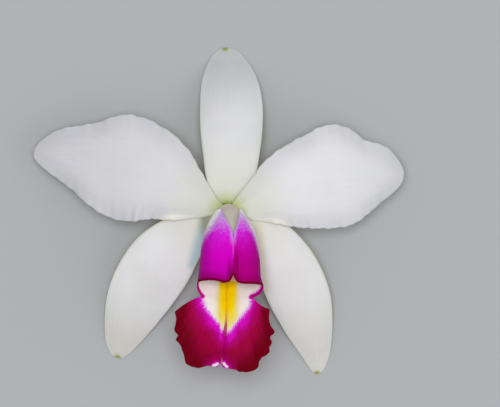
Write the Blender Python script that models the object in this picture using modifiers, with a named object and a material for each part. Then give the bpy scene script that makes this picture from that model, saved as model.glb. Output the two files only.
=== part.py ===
"""Bloom of a cattleya orchid, as picked, lying on its back on the tips of its three sepals.

The flower faces up. Seen from above, +Y is the flower's top and +X its right.
The origin lies on the surface, under the middle of the flower's spread.
All lengths in the tables are millimetres, measured from the flower's axis in plan
and from the surface in height. The model itself is in metres.
"""
import math

import bmesh
import bpy
from mathutils import Vector

MM = 0.001
# Room for rounding where a corner lies on a seam of its grid
ROUNDING = 0.0001

# The flower's axis, from the middle of its spread
AXIS_X = 2.7
AXIS_Y = -0.4

# Levels at the flower's heart: the ovary's top, then the sepals' whorl, then the petals'
OVARY_TOP = 16.0
GAP = 0.3
HEART_RADIUS = 2.6
SEPAL_THICK = 1.0
PETAL_THICK = 0.8
LIP_THICK = 0.8
SEPAL_LEVEL = OVARY_TOP + GAP + SEPAL_THICK / 2
PETAL_LEVEL = OVARY_TOP + 2 * GAP + SEPAL_THICK + PETAL_THICK / 2
COLUMN_RADIUS = 2.2

# Blades: quads along and across, and how the rows close up towards the tip
BLADE_ROWS = 20
BLADE_COLUMNS = 10
ROW_CLOSING = 1.6
TIP_SHARE = 0.9985
# Half the step, in shares of the length, over which a midrib's direction is measured
WAY_STEP = 0.01
# The margins' waves grow over the first share of the length and die away over the last one.
# The lean shifts them from one margin to the other, in waves.
WAVE_GROWTH = 0.3
WAVE_END = 0.2
WAVE_LEAN = 0.3

# Each midrib is a list of places in plan, from the flower's axis to the tip.
# Each station is: share of the midrib's length, half-width on the left and on the right
# of the way to the tip, height of the midrib, and how far the margins droop below it.
# The waves are the height, count and starting phase of the margins' waves.
SEPAL_DORSAL = {
    "midrib": [(0.0, 0.0), (0.9, 12.0), (1.1, 24.0), (0.9, 34.4), (-0.9, 49.9)],
    "stations": [
        (0.00, 1.3, 1.3, SEPAL_LEVEL, 0.0),
        (0.06, 3.0, 3.0, SEPAL_LEVEL, 0.0),
        (0.18, 6.6, 6.6, 17.3, -0.5),
        (0.38, 8.5, 8.5, 15.6, 0.4),
        (0.57, 9.8, 9.8, 11.6, 1.2),
        (0.72, 10.5, 10.5, 7.1, 1.4),
        (0.82, 10.7, 10.7, 3.9, 1.1),
        (0.92, 10.4, 10.4, 1.2, 0.3),
        (1.00, 10.4, 10.4, 0.1, 0.0),
    ],
    "waves": (0.25, 3.0, 0.4),
}
SEPAL_LATERAL_LEFT = {
    "midrib": [
        (0.0, 0.0),
        (-9.6, -5.1),
        (-16.8, -10.8),
        (-23.5, -19.2),
        (-28.5, -28.3),
        (-33.6, -44.2),
    ],
    "stations": [
        (0.00, 1.3, 1.3, SEPAL_LEVEL, 0.0),
        (0.06, 2.8, 2.8, SEPAL_LEVEL, 0.0),
        (0.20, 6.0, 5.9, 16.7, -0.3),
        (0.40, 9.8, 9.5, 14.3, 0.6),
        (0.60, 10.8, 10.1, 9.8, 1.2),
        (0.75, 10.2, 9.7, 5.6, 1.2),
        (0.85, 9.1, 9.4, 2.9, 0.8),
        (0.93, 7.9, 9.6, 1.0, 0.2),
        (1.00, 7.0, 9.8, 0.1, 0.0),
    ],
    "waves": (0.25, 2.5, 0.1),
}
SEPAL_LATERAL_RIGHT = {
    "midrib": [
        (0.0, 0.0),
        (9.0, -5.1),
        (15.0, -11.4),
        (19.8, -19.2),
        (23.6, -29.0),
        (27.1, -49.1),
    ],
    "stations": [
        (0.00, 1.3, 1.3, SEPAL_LEVEL, 0.0),
        (0.06, 2.8, 2.8, SEPAL_LEVEL, 0.0),
        (0.20, 6.0, 6.0, 16.7, -0.3),
        (0.40, 8.1, 9.3, 14.3, 0.6),
        (0.60, 8.7, 10.5, 9.8, 1.2),
        (0.75, 8.3, 9.2, 5.6, 1.2),
        (0.85, 8.1, 7.3, 2.9, 0.8),
        (0.93, 8.0, 5.4, 1.0, 0.2),
        (1.00, 7.5, 4.5, 0.1, 0.0),
    ],
    "waves": (0.25, 2.5, 0.6),
}
PETAL_LEFT = {
    "midrib": [
        (0.0, 0.0),
        (-10.8, 7.5),
        (-19.8, 12.0),
        (-31.8, 14.4),
        (-44.4, 16.1),
        (-58.5, 17.7),
    ],
    "stations": [
        (0.00, 1.0, 1.0, PETAL_LEVEL, 0.0),
        (0.05, 3.2, 1.8, PETAL_LEVEL, 0.0),
        (0.10, 6.3, 2.4, 18.3, 0.0),
        (0.20, 10.9, 4.8, 18.9, -0.3),
        (0.30, 13.5, 8.9, 19.2, 0.2),
        (0.40, 15.2, 12.5, 19.1, 0.9),
        (0.50, 16.9, 15.1, 18.5, 1.5),
        (0.60, 17.1, 15.6, 17.4, 1.8),
        (0.70, 15.4, 13.3, 15.9, 1.7),
        (0.80, 11.9, 12.5, 14.0, 1.3),
        (0.90, 9.5, 12.8, 11.7, 0.7),
        (1.00, 7.5, 11.0, 9.0, 0.0),
    ],
    "waves": (0.9, 4.0, 0.15),
}
PETAL_RIGHT = {
    "midrib": [
        (0.0, 0.0),
        (10.2, 6.3),
        (18.6, 9.3),
        (30.6, 11.1),
        (42.6, 11.7),
        (52.9, 11.1),
    ],
    "stations": [
        (0.00, 1.0, 1.0, PETAL_LEVEL, 0.0),
        (0.05, 1.8, 3.2, PETAL_LEVEL, 0.0),
        (0.10, 2.4, 6.3, 18.3, 0.0),
        (0.20, 4.6, 10.2, 18.9, -0.3),
        (0.30, 8.0, 12.7, 19.2, 0.2),
        (0.40, 10.7, 14.5, 19.2, 0.9),
        (0.50, 13.2, 15.7, 18.9, 1.5),
        (0.60, 15.9, 16.8, 18.3, 1.8),
        (0.70, 16.0, 17.4, 17.4, 1.9),
        (0.80, 12.5, 15.9, 15.9, 1.8),
        (0.90, 13.4, 13.3, 12.9, 1.4),
        (1.00, 11.2, 11.0, 6.6, 0.0),
    ],
    "waves": (0.9, 4.0, 0.55),
}

# The lip's tube: its own frame starts under the column's foot and leans towards the viewer.
# Along the tube is "reach", sideways is X, and away from its floor is "rise".
TUBE_START = Vector((0.0, -2.8, 18.0))
TUBE_LEAN = math.radians(32.0)
REACH_DIR = Vector((0.0, -math.cos(TUBE_LEAN), math.sin(TUBE_LEAN)))
RISE_DIR = Vector((0.0, math.sin(TUBE_LEAN), math.cos(TUBE_LEAN)))
TUBE_HALF_WIDTH = [
    (0.0, 3.5),
    (1.8, 4.1),
    (4.4, 5.8),
    (8.9, 7.5),
    (16.7, 8.3),
    (22.6, 8.8),
    (29.0, 9.4),
]
TUBE_HEIGHT = [
    (0.0, 7.6),
    (1.8, 8.2),
    (4.4, 9.2),
    (8.9, 10.3),
    (16.7, 11.4),
    (22.6, 12.0),
    (29.0, 12.2),
]
TUBE_SQUARENESS = 2.3
# The tube leans a little to the right, most of all its top, where the side lobes meet
TUBE_DRIFT = 0.2
SEAM_DRIFT_START = 0.75
SEAM_DRIFT = 0.55
DRIFT_REACH = 8.0
# Half-turns round from the floor's middle to the free edge of each side lobe, by reach
LOBE_EDGE = [
    (0.0, 0.70),
    (1.8, 0.77),
    (4.4, 0.90),
    (8.9, 0.975),
    (12.2, 0.993),
    (25.0, 0.993),
    (28.0, 0.975),
]
# The free edges turn down into a furrow where they meet
SEAM_FURROW = 0.9
FURROW_HALF_TURNS = 0.07
# The side lobes end and the middle lobe starts at a sinus on each side of the floor
SINUS_LEFT = 0.30
SINUS_RIGHT = 0.245
SINUS_REACH = 27.4
# Reach of the side lobes' front margins, by half-turns from the floor's middle
FRONT_LEFT = [
    (SINUS_LEFT, SINUS_REACH),
    (0.40, 26.6),
    (0.53, 24.9),
    (0.70, 26.2),
    (0.83, 27.4),
    (0.92, 28.4),
    (1.00, 27.4),
]
FRONT_RIGHT = [
    (SINUS_RIGHT, SINUS_REACH),
    (0.38, 27.4),
    (0.53, 26.6),
    (0.70, 27.8),
    (0.88, 28.6),
    (1.00, 27.6),
]

# The lip's middle lobe: its outline is a radius about a point of the throat, at degrees
# round from straight ahead (left is negative)
LOBE_CENTRE = Vector((-0.9, -31.4, 0.0))
LOBE_OUTLINE = [
    (-108.0, 12.6),
    (-96.0, 13.9),
    (-72.0, 14.7),
    (-54.0, 15.4),
    (-40.0, 17.0),
    (-27.0, 16.0),
    (-12.0, 14.7),
    (4.0, 14.9),
    (18.0, 16.2),
    (31.0, 17.1),
    (48.0, 16.2),
    (66.0, 14.9),
    (82.0, 13.6),
    (101.0, 13.2),
    (108.0, 12.0),
]
LOBE_HALF_SWEEP = 108.0
# The notch at the tip, the small teeth of the margin and its ruffles
LOBE_NOTCH_ANGLE = -4.0
LOBE_NOTCH_DEPTH = 2.6
LOBE_NOTCH_SPREAD = 4.0
LOBE_TEETH = 14
LOBE_TOOTH = 0.35
LOBE_FRONT_HEIGHT = 32.4
LOBE_SIDE_HEIGHT = 33.8
LOBE_RUFFLE = 0.8
LOBE_RUFFLES = 5
# How the lobe leaves the throat, fanned out by degrees, and how it turns down at its margin
LOBE_START_PULL = 15.0
LOBE_START_FAN = 72.0
LOBE_END_PULL = 9.0
LOBE_END_FALL = 0.35

TUBE_ROWS = 13
LOBE_ROWS = 9
SIDE_COLUMNS = 8
LOBE_COLUMNS = 2 * LOBE_TEETH

# Column: places along its middle and the radius there
COLUMN_PATH = [
    (0.0, 0.0, OVARY_TOP + GAP, COLUMN_RADIUS),
    (0.0, 0.0, 19.2, COLUMN_RADIUS),
    (0.3, -0.9, 22.2, 2.1),
    (0.6, -4.0, 25.2, 2.2),
    (0.9, -9.2, 28.6, 2.3),
    (1.1, -14.2, 31.8, 2.5),
    (1.2, -18.3, 34.3, 2.8),
]
CAP_RADIUS = 2.6
CAP_DEPTH = 2.3
CAP_THICK = 0.45
POLLEN_RADIUS = 0.62
POLLEN_OFFSET = 0.5
POLLEN_DEPTH = 0.8
CAP_SEGMENTS = 20
CAP_RINGS = 12
POLLEN_SEGMENTS = 10
POLLEN_RINGS = 6

# Ovary and flower stalk: places along the middle and the radius there
STALK_PATH = [
    (0.0, 0.0, OVARY_TOP, 4.2),
    (0.0, 0.0, 14.6, 3.5),
    (0.0, -1.1, 11.4, 3.1),
    (0.0, -4.9, 7.3, 2.9),
    (0.3, -11.0, 4.4, 2.6),
    (0.7, -19.0, 2.9, 2.2),
    (1.0, -29.0, 2.2, 1.85),
    (1.2, -38.0, 2.0, 1.75),
    (1.3, -44.0, 2.2, 1.95),
]
RIBS = 6
RIB_SHARE = 0.07
RIB_POINTS = 24
# Steps of a swept piece between two places of its path, and quarter-round steps about it
STEPS_PER_SPAN = 4
BEVEL_STEPS = 4

TABLE_SIDE = 200.0
TABLE_DEPTH = 20.0

COLORS = {
    "sepal": (0.80, 0.81, 0.76, 1.0),
    "petal": (0.80, 0.81, 0.86, 1.0),
    "lip": (0.45, 0.01, 0.16, 1.0),
    "column": (0.72, 0.66, 0.60, 1.0),
    "cap": (0.80, 0.70, 0.72, 1.0),
    "pollen": (0.85, 0.68, 0.12, 1.0),
    "stalk": (0.30, 0.42, 0.10, 1.0),
}


def smooth(knots, x):
    """Height of a smooth curve through (place, height) knots: cubic spans with shared slopes."""
    last = len(knots) - 1
    if x <= knots[0][0]:
        return knots[0][1]
    if x >= knots[last][0]:
        return knots[last][1]

    def slope(i):
        before = knots[max(i - 1, 0)]
        after = knots[min(i + 1, last)]
        return (after[1] - before[1]) / (after[0] - before[0])

    i = max(k for k in range(last) if knots[k][0] <= x)
    width = knots[i + 1][0] - knots[i][0]
    t = (x - knots[i][0]) / width
    return (
        (2 * t**3 - 3 * t**2 + 1) * knots[i][1]
        + (t**3 - 2 * t**2 + t) * width * slope(i)
        + (3 * t**2 - 2 * t**3) * knots[i + 1][1]
        + (t**3 - t**2) * width * slope(i + 1)
    )


def ease(x):
    """Soft step from 0 at 0 to 1 at 1."""
    x = min(max(x, 0.0), 1.0)
    return x * x * (3 - 2 * x)


def bump(x, spread):
    """Bell curve of height 1 about 0."""
    return math.exp(-((x / spread) ** 2))


def place(x, y, z):
    """A point given from the flower's axis in millimetres, in the model's metres."""
    return Vector((x + AXIS_X, y + AXIS_Y, z)) * MM


def material(name):
    mat = bpy.data.materials.new(name)
    mat.use_nodes = True
    shader = mat.node_tree.nodes["Principled BSDF"]
    shader.inputs["Base Color"].default_value = COLORS[name]
    shader.inputs["Roughness"].default_value = 0.5
    shader.inputs["Metallic"].default_value = 0.0
    return mat


def add_object(name, mesh, mat, collection):
    obj = bpy.data.objects.new(name, mesh)
    mesh.materials.append(mat)
    collection.objects.link(obj)
    return obj


def grid_mesh(name, columns, rows, point, keep=None):
    """A grid bent to shape: point(column share, row share) gives each corner's place.

    keep(column share, row share) of a quad's middle says whether the quad stays.
    """
    bm = bmesh.new()
    bmesh.ops.create_grid(bm, x_segments=columns, y_segments=rows, size=0.5)
    if keep:
        outside = []
        for face in bm.faces:
            middle = face.calc_center_median()
            if not keep(middle.x + 0.5, middle.y + 0.5):
                outside.append(face)
        bmesh.ops.delete(bm, geom=outside, context="FACES")
    for v in bm.verts:
        v.co = point(v.co.x + 0.5, v.co.y + 0.5)
    mesh = bpy.data.meshes.new(name)
    bm.to_mesh(mesh)
    bm.free()
    return mesh


def add_wall(obj, thickness):
    """Splits the open surface alike on both faces, then gives it its thickness."""
    obj.modifiers.new("Split", "TRIANGULATE")
    wall = obj.modifiers.new("Wall", "SOLIDIFY")
    wall.thickness = thickness * MM
    wall.offset = 0.0


def midrib_curve(points):
    """Splits the plan of a midrib into x and y knots by share of its length."""
    lengths = [0.0]
    for a, b in zip(points, points[1:]):
        lengths.append(lengths[-1] + math.dist(a, b))
    shares = [d / lengths[-1] for d in lengths]
    xs = [(s, p[0]) for s, p in zip(shares, points)]
    ys = [(s, p[1]) for s, p in zip(shares, points)]
    return xs, ys, lengths[-1]


def blade_point(blade, start_share, column_share, row_share):
    """Place on a sepal or petal: across the midrib by column, along it by row."""
    xs, ys, length = blade["midrib_curve"]
    s = 1.0 - (1.0 - row_share) ** ROW_CLOSING
    s = start_share + (TIP_SHARE - start_share) * s
    ahead = min(s + WAY_STEP, 1.0)
    behind = max(s - WAY_STEP, 0.0)
    way = Vector((smooth(xs, ahead) - smooth(xs, behind), smooth(ys, ahead) - smooth(ys, behind)))
    way.normalize()
    left = Vector((-way.y, way.x))
    across = 1.0 - 2.0 * column_share
    side = 1 if across > 0 else 2
    half_width = smooth([(row[0], row[side]) for row in blade["stations"]], s) * math.sqrt(1 - s**4)
    height = smooth([(row[0], row[3]) for row in blade["stations"]], s)
    droop = smooth([(row[0], row[4]) for row in blade["stations"]], s)
    amplitude, count, phase = blade["waves"]
    wave = math.sin(2 * math.pi * (count * s + phase + WAVE_LEAN * across))
    wave *= amplitude * abs(across) ** 3 * ease(s / WAVE_GROWTH) * ease((1 - s) / WAVE_END)
    x = smooth(xs, s) + left.x * half_width * across
    y = smooth(ys, s) + left.y * half_width * across
    return place(x, y, height - droop * across**2 + wave)


def make_blade(name, blade, thickness, mat, collection, table=None):
    """A sepal or petal. On the table's top a sepal's tip has a small flat spot."""
    blade = dict(blade, midrib_curve=midrib_curve(blade["midrib"]))
    start_share = HEART_RADIUS / blade["midrib_curve"][2]

    def point(column_share, row_share):
        return blade_point(blade, start_share, column_share, row_share)

    mesh = grid_mesh(name, BLADE_COLUMNS, BLADE_ROWS, point)
    obj = add_object(name, mesh, mat, collection)
    add_wall(obj, thickness)
    if table:
        cut = obj.modifiers.new("Flat spot", "BOOLEAN")
        cut.operation = "DIFFERENCE"
        cut.object = table
        cut.solver = "EXACT"
    return obj


def tube_point(turn, reach):
    """Place on the lip's tube, at turn half-turns round from its floor (left is negative)."""
    side = -1.0 if turn < 0 else 1.0
    angle = math.pi * abs(turn)
    power = 2.0 / TUBE_SQUARENESS
    height = smooth(TUBE_HEIGHT, reach)
    cosine = math.cos(angle)
    rise = height / 2 * (1 - math.copysign(abs(cosine) ** power, cosine))
    x = side * smooth(TUBE_HALF_WIDTH, reach) * abs(math.sin(angle)) ** power
    drift = ease(reach / DRIFT_REACH)
    x += drift * TUBE_DRIFT + (SEAM_DRIFT_START + drift * SEAM_DRIFT) * (rise / height) ** 2
    rise -= SEAM_FURROW * drift * bump(1 - abs(turn), FURROW_HALF_TURNS)
    return TUBE_START + Vector((x, 0, 0)) + REACH_DIR * reach + RISE_DIR * rise


def sinus_turn(side):
    """Half-turns from the floor's middle to the sinus on the side given by the sign."""
    return SINUS_LEFT if side < 0 else SINUS_RIGHT


def front_reach(turn):
    """Reach of the tube's front margin. It is level over the floor, where the lobe goes on."""
    knots = FRONT_LEFT if turn < 0 else FRONT_RIGHT
    return smooth(knots, abs(turn))


def lobe_point(across, out):
    """Place on the middle lobe: a cubic from the tube's floor to the lobe's outline."""
    start = tube_point(across * sinus_turn(across), SINUS_REACH)
    fan = math.radians(LOBE_START_FAN * across)
    start_way = LOBE_START_PULL * (REACH_DIR * math.cos(fan) + Vector((math.sin(fan), 0, 0)))
    degrees = LOBE_HALF_SWEEP * across + LOBE_NOTCH_ANGLE * (1 - across**2)
    angle = math.radians(degrees)
    radius = smooth(LOBE_OUTLINE, degrees)
    radius -= LOBE_NOTCH_DEPTH * bump(degrees - LOBE_NOTCH_ANGLE, LOBE_NOTCH_SPREAD)
    radius += LOBE_TOOTH * math.cos(LOBE_TEETH * math.pi * (across + 1)) * (1 - across**4)
    height = LOBE_FRONT_HEIGHT + (LOBE_SIDE_HEIGHT - LOBE_FRONT_HEIGHT) * math.sin(angle) ** 2
    height += LOBE_RUFFLE * math.sin(LOBE_RUFFLES * angle) * (1 - across**4)
    out_way = Vector((math.sin(angle), -math.cos(angle), 0))
    end = Vector((LOBE_CENTRE.x, LOBE_CENTRE.y, height)) + radius * out_way
    end_way = LOBE_END_PULL * (out_way + Vector((0, 0, -LOBE_END_FALL)))
    t = out
    return (
        (2 * t**3 - 3 * t**2 + 1) * start
        + (t**3 - 2 * t**2 + t) * start_way
        + (3 * t**2 - 2 * t**3) * end
        + (t**3 - t**2) * end_way
    )


def make_lip(mat, collection):
    """The lip: one grid whose middle columns run on from the tube into the middle lobe."""
    columns = 2 * SIDE_COLUMNS + LOBE_COLUMNS
    rows = TUBE_ROWS + LOBE_ROWS
    side_share = SIDE_COLUMNS / columns
    tube_share = TUBE_ROWS / rows

    def point(column_share, row_share):
        middle = (column_share - 0.5) / (0.5 - side_share)
        row = row_share / tube_share
        sinus = sinus_turn(middle)
        if abs(middle) <= 1 + ROUNDING:
            turn = middle * sinus
        else:
            beyond = (abs(column_share - 0.5) - 0.5 + side_share) / side_share
            turn = math.copysign(sinus + (1 - sinus) * beyond, middle)
        if row <= 1 + ROUNDING:
            reach = row * front_reach(turn)
            edge = smooth(LOBE_EDGE, reach)
            turn *= 1 - (1 - edge) * ease((abs(turn) - sinus) / (1 - sinus))
            spot = tube_point(turn, reach)
        else:
            spot = lobe_point(middle, (row_share - tube_share) / (1 - tube_share))
        return place(*spot)

    def keep(column_share, row_share):
        return row_share < tube_share or side_share < column_share < 1 - side_share

    obj = add_object("lip", grid_mesh("lip", columns, rows, point, keep), mat, collection)
    add_wall(obj, LIP_THICK)
    return obj


def path_station(path, t):
    """x, y, z and radius at t spans along a path, on a smooth curve through its places."""
    return [smooth([(k, row[axis]) for k, row in enumerate(path)], t) for axis in range(4)]


def swept(name, path, mat, collection, profile=None):
    """A tube along a smooth curve through the path's places, with the radius given at each."""
    curve = bpy.data.curves.new(name, "CURVE")
    curve.dimensions = "3D"
    curve.use_fill_caps = True
    curve.twist_mode = "Z_UP"
    if profile:
        curve.bevel_mode = "OBJECT"
        curve.bevel_object = profile
    else:
        curve.bevel_depth = MM
        curve.bevel_resolution = BEVEL_STEPS
    spans = len(path) - 1
    count = spans * STEPS_PER_SPAN + 1
    spline = curve.splines.new("POLY")
    spline.points.add(count - 1)
    for i in range(count):
        x, y, z, radius = path_station(path, i / STEPS_PER_SPAN)
        spline.points[i].co = (*place(x, y, z), 1.0)
        spline.points[i].radius = radius
    obj = bpy.data.objects.new(name, curve)
    curve.materials.append(mat)
    collection.objects.link(obj)
    return obj


def rib_profile(collection):
    """Cross-section of the ovary, 1 mm in radius with low ribs: a guide, not a part."""
    curve = bpy.data.curves.new("rib_profile", "CURVE")
    curve.dimensions = "2D"
    spline = curve.splines.new("POLY")
    spline.points.add(RIB_POINTS - 1)
    for i in range(RIB_POINTS):
        angle = -2 * math.pi * i / RIB_POINTS
        radius = MM * (1 - RIB_SHARE + RIB_SHARE * math.cos(RIBS * angle))
        spline.points[i].co = (radius * math.cos(angle), radius * math.sin(angle), 0.0, 1.0)
    spline.use_cyclic_u = True
    guide = bpy.data.objects.new("rib_profile", curve)
    guide.hide_render = True
    guide.display_type = "WIRE"
    collection.objects.link(guide)
    return guide


def column_end():
    """Middle and direction of the column's free end, in millimetres from the flower's axis."""
    spans = len(COLUMN_PATH) - 1
    end = Vector(path_station(COLUMN_PATH, spans)[:3])
    before = Vector(path_station(COLUMN_PATH, spans - 1 / STEPS_PER_SPAN)[:3])
    return end, (end - before).normalized()


def make_cap(mat, collection):
    """Anther cap: a thin dome, open towards the column's end."""
    end, way = column_end()
    bm = bmesh.new()
    bmesh.ops.create_uvsphere(bm, u_segments=CAP_SEGMENTS, v_segments=CAP_RINGS, radius=1.0)
    lower_half = [v for v in bm.verts if v.co.z < -ROUNDING]
    bmesh.ops.delete(bm, geom=lower_half, context="VERTS")
    for v in bm.verts:
        v.co = Vector((v.co.x * CAP_RADIUS, v.co.y * CAP_RADIUS, v.co.z * CAP_DEPTH)) * MM
    mesh = bpy.data.meshes.new("anther_cap")
    bm.to_mesh(mesh)
    bm.free()
    obj = add_object("anther_cap", mesh, mat, collection)
    obj.location = place(*(end + way * GAP))
    obj.rotation_mode = "QUATERNION"
    obj.rotation_quaternion = way.to_track_quat("Z", "Y")
    wall = obj.modifiers.new("Wall", "SOLIDIFY")
    wall.thickness = CAP_THICK * MM
    wall.offset = -1.0
    return obj


def move_to(collection, obj):
    """Takes an object out of the collections it is in, and puts it into this one."""
    for used in obj.users_collection:
        used.objects.unlink(obj)
    collection.objects.link(obj)


def add_ball(centre, collection):
    """One waxy lump of pollen, centred on a place given from the flower's axis."""
    bpy.ops.mesh.primitive_uv_sphere_add(
        segments=POLLEN_SEGMENTS, ring_count=POLLEN_RINGS, radius=POLLEN_RADIUS * MM
    )
    ball = bpy.context.object
    ball.location = place(*centre)
    move_to(collection, ball)
    return ball


def make_pollinia(mat, collection):
    """Four waxy pollen masses in two pairs, joined in their middle, under the cap."""
    end, way = column_end()
    turn = way.to_track_quat("Z", "Y")
    middle = end + way * (GAP + POLLEN_DEPTH)
    masses = bpy.data.collections.new("pollen_masses")
    for sx in (-1, 1):
        for sy in (-1, 1):
            add_ball(middle + turn @ Vector((sx, sy, 0.0)) * POLLEN_OFFSET, masses)
    core = add_ball(middle, collection)
    core.name = "pollinia"
    union = core.modifiers.new("Join", "BOOLEAN")
    union.operation = "UNION"
    union.operand_type = "COLLECTION"
    union.collection = masses
    union.solver = "EXACT"
    depsgraph = bpy.context.evaluated_depsgraph_get()
    joined = bpy.data.meshes.new_from_object(core.evaluated_get(depsgraph))
    core.modifiers.clear()
    core.data = joined
    joined.materials.clear()
    joined.materials.append(mat)
    for mass in list(masses.objects):
        bpy.data.objects.remove(mass, do_unlink=True)
    bpy.data.collections.remove(masses)
    return core


def make_table(collection):
    """What the flower lies on: a guide that cuts the flat spots, not a part."""
    bpy.ops.mesh.primitive_cube_add(size=1.0)
    table = bpy.context.object
    table.name = "table_guide"
    table.dimensions = Vector((TABLE_SIDE, TABLE_SIDE, TABLE_DEPTH)) * MM
    table.location = Vector((0.0, 0.0, -TABLE_DEPTH / 2)) * MM
    bpy.ops.object.transform_apply(location=True, rotation=True, scale=True)
    table.hide_render = True
    table.display_type = "WIRE"
    move_to(collection, table)
    return table


def main():
    for obj in list(bpy.data.objects):
        bpy.data.objects.remove(obj, do_unlink=True)
    bloom = bpy.data.collections.new("cattleya_bloom")
    guides = bpy.data.collections.new("guides")
    bpy.context.scene.collection.children.link(bloom)
    bpy.context.scene.collection.children.link(guides)
    table = make_table(guides)

    sepal = material("sepal")
    petal = material("petal")
    make_blade("sepal_dorsal", SEPAL_DORSAL, SEPAL_THICK, sepal, bloom, table)
    make_blade("sepal_lateral_left", SEPAL_LATERAL_LEFT, SEPAL_THICK, sepal, bloom, table)
    make_blade("sepal_lateral_right", SEPAL_LATERAL_RIGHT, SEPAL_THICK, sepal, bloom, table)
    make_blade("petal_left", PETAL_LEFT, PETAL_THICK, petal, bloom)
    make_blade("petal_right", PETAL_RIGHT, PETAL_THICK, petal, bloom)
    make_lip(material("lip"), bloom)
    swept("column", COLUMN_PATH, material("column"), bloom)
    make_cap(material("cap"), bloom)
    make_pollinia(material("pollen"), bloom)
    swept("ovary_pedicel", STALK_PATH, material("stalk"), bloom, rib_profile(guides))


main()
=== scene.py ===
"""Finished surfaces of a cattleya orchid's bloom, around its solids.

The bloom lies on its back and faces up. +Y is its top, +X its right as seen from above.
The tables hold millimetres, measured from the flower's axis in plan and from the surface
in height. Meshes are in metres.
"""
import math
from functools import partial

import bpy
import numpy as np
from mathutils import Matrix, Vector


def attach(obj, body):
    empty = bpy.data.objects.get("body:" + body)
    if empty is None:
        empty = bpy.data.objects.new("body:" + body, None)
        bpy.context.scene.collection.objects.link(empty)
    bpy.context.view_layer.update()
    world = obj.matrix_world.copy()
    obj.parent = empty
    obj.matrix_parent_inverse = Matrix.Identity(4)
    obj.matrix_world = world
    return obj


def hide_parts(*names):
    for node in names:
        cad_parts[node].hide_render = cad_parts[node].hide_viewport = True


bl_info = {
    "name": "Cattleya bloom",
    "version": (1, 0, 0),
    "blender": (4, 5, 0),
    "location": "3D View > Sidebar > Bloom",
    "description": "Sepals, petals, lip, column and stalk of a cattleya orchid's bloom",
    "category": "Add Mesh",
}

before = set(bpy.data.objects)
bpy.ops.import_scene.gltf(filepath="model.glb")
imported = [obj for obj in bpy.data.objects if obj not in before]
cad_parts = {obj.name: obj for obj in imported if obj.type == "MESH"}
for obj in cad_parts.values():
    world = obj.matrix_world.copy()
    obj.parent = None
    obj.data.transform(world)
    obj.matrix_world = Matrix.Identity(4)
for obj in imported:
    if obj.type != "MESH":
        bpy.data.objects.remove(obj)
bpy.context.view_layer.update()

MM = 0.001

# The flower's axis, from the middle of its spread
AXIS = np.array([2.7, -0.4, 0.0])

# Levels at the flower's heart, the gap that parts two pieces there, and where blades start
SEPAL_LEVEL = 16.8
PETAL_LEVEL = 18.0
GAP = 0.3
HEART_RADIUS = 2.6

# Blades: quads along and across, and how the rows close up towards the tip
BLADE_ROWS = 150
BLADE_COLUMNS = 72
ROW_CLOSING = 1.6
TIP_SHARE = 0.9985
# Quads round the rim of every thin wall
RIM_STEPS = 4
# Share of the length, each way, that the midrib's direction is taken over
WAY_STEP = 0.01
# The margins' waves grow at the base and end at the tip over these shares of the length, and
# lean by this part of a wave from the midrib to a margin
WAVE_GROWTH = 0.3
WAVE_END = 0.2
WAVE_LEAN = 0.3
# Crimps are the product of two sines: how fast each turns along the blade and across it
CRIMPS = ((24.0, 2.0), (7.1, 1.3))
# A blade thins over this width at its margins. A groove in front of the midrib and a keel
# behind it have this half-width and depth or height, and fade before the tip.
THINNING = 5.0
MIDRIB_GROOVE = (2.0, 0.04)
MIDRIB_KEEL = (0.8, 0.28)
MIDRIB_END = 0.75
MIDRIB_FADE = 0.3

# Each midrib is a list of places in plan, from the flower's axis to the tip.
# Each station is: share of the midrib's length, half-width on the left and on the right
# of the way to the tip, height of the midrib, and how far the margins droop below it.
# The waves are the height, count and starting phase of the margins' waves. The pleats, in a
# petal's margin on the lip's side, are their middle and spread as shares of the length, their
# count to the length, and their height. The shade is painted shade: how far the blade's colour
# turns to its shade colour, at its base and at its tip. The hollow and the tan line are strokes
# in plan beside the lip, where a lateral sepal is painted with a blue-grey shadow or a tan
# shade. The veins are how far they show at the tip, and the scallop is how far the crimps move
# the margin in plan.
SEPAL_DORSAL = {
    "midrib": [(0.0, 0.0), (0.9, 12.0), (1.1, 24.0), (0.9, 34.4), (-0.9, 49.9)],
    "stations": [
        (0.00, 1.3, 1.3, SEPAL_LEVEL, 0.0),
        (0.06, 3.0, 3.0, SEPAL_LEVEL, 0.0),
        (0.18, 6.6, 6.6, 17.3, -0.5),
        (0.38, 8.5, 8.5, 15.6, 0.4),
        (0.57, 9.8, 9.8, 11.6, 1.2),
        (0.72, 10.5, 10.5, 7.1, 1.4),
        (0.82, 10.7, 10.7, 3.9, 1.1),
        (0.92, 10.4, 10.4, 1.2, 0.3),
        (1.00, 10.4, 10.4, 0.1, 0.0),
    ],
    "waves": (0.25, 3.0, 0.4),
    "shade": (0.24, 0.75),
}
SEPAL_LATERAL_LEFT = {
    "midrib": [
        (0.0, 0.0), (-9.6, -5.1), (-16.8, -10.8), (-23.5, -19.2), (-28.5, -28.3),
        (-33.6, -44.2),
    ],
    "stations": [
        (0.00, 1.3, 1.3, SEPAL_LEVEL, 0.0),
        (0.06, 2.8, 2.8, SEPAL_LEVEL, 0.0),
        (0.20, 6.0, 5.9, 16.7, -0.3),
        (0.40, 9.8, 9.5, 14.3, 0.6),
        (0.60, 10.8, 10.1, 9.8, 1.2),
        (0.75, 10.2, 9.7, 5.6, 1.2),
        (0.85, 9.1, 9.4, 2.9, 0.8),
        (0.93, 7.9, 9.6, 1.0, 0.2),
        (1.00, 7.0, 9.8, 0.1, 0.0),
    ],
    "waves": (0.25, 2.5, 0.1),
    "shade": (0.0, 0.6),
    # Stroke along which the lip's shadow is painted on this sepal, blue-grey
    "hollow": ((-6.6, -2.0), (-9.9, -15.5)),
}
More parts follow.
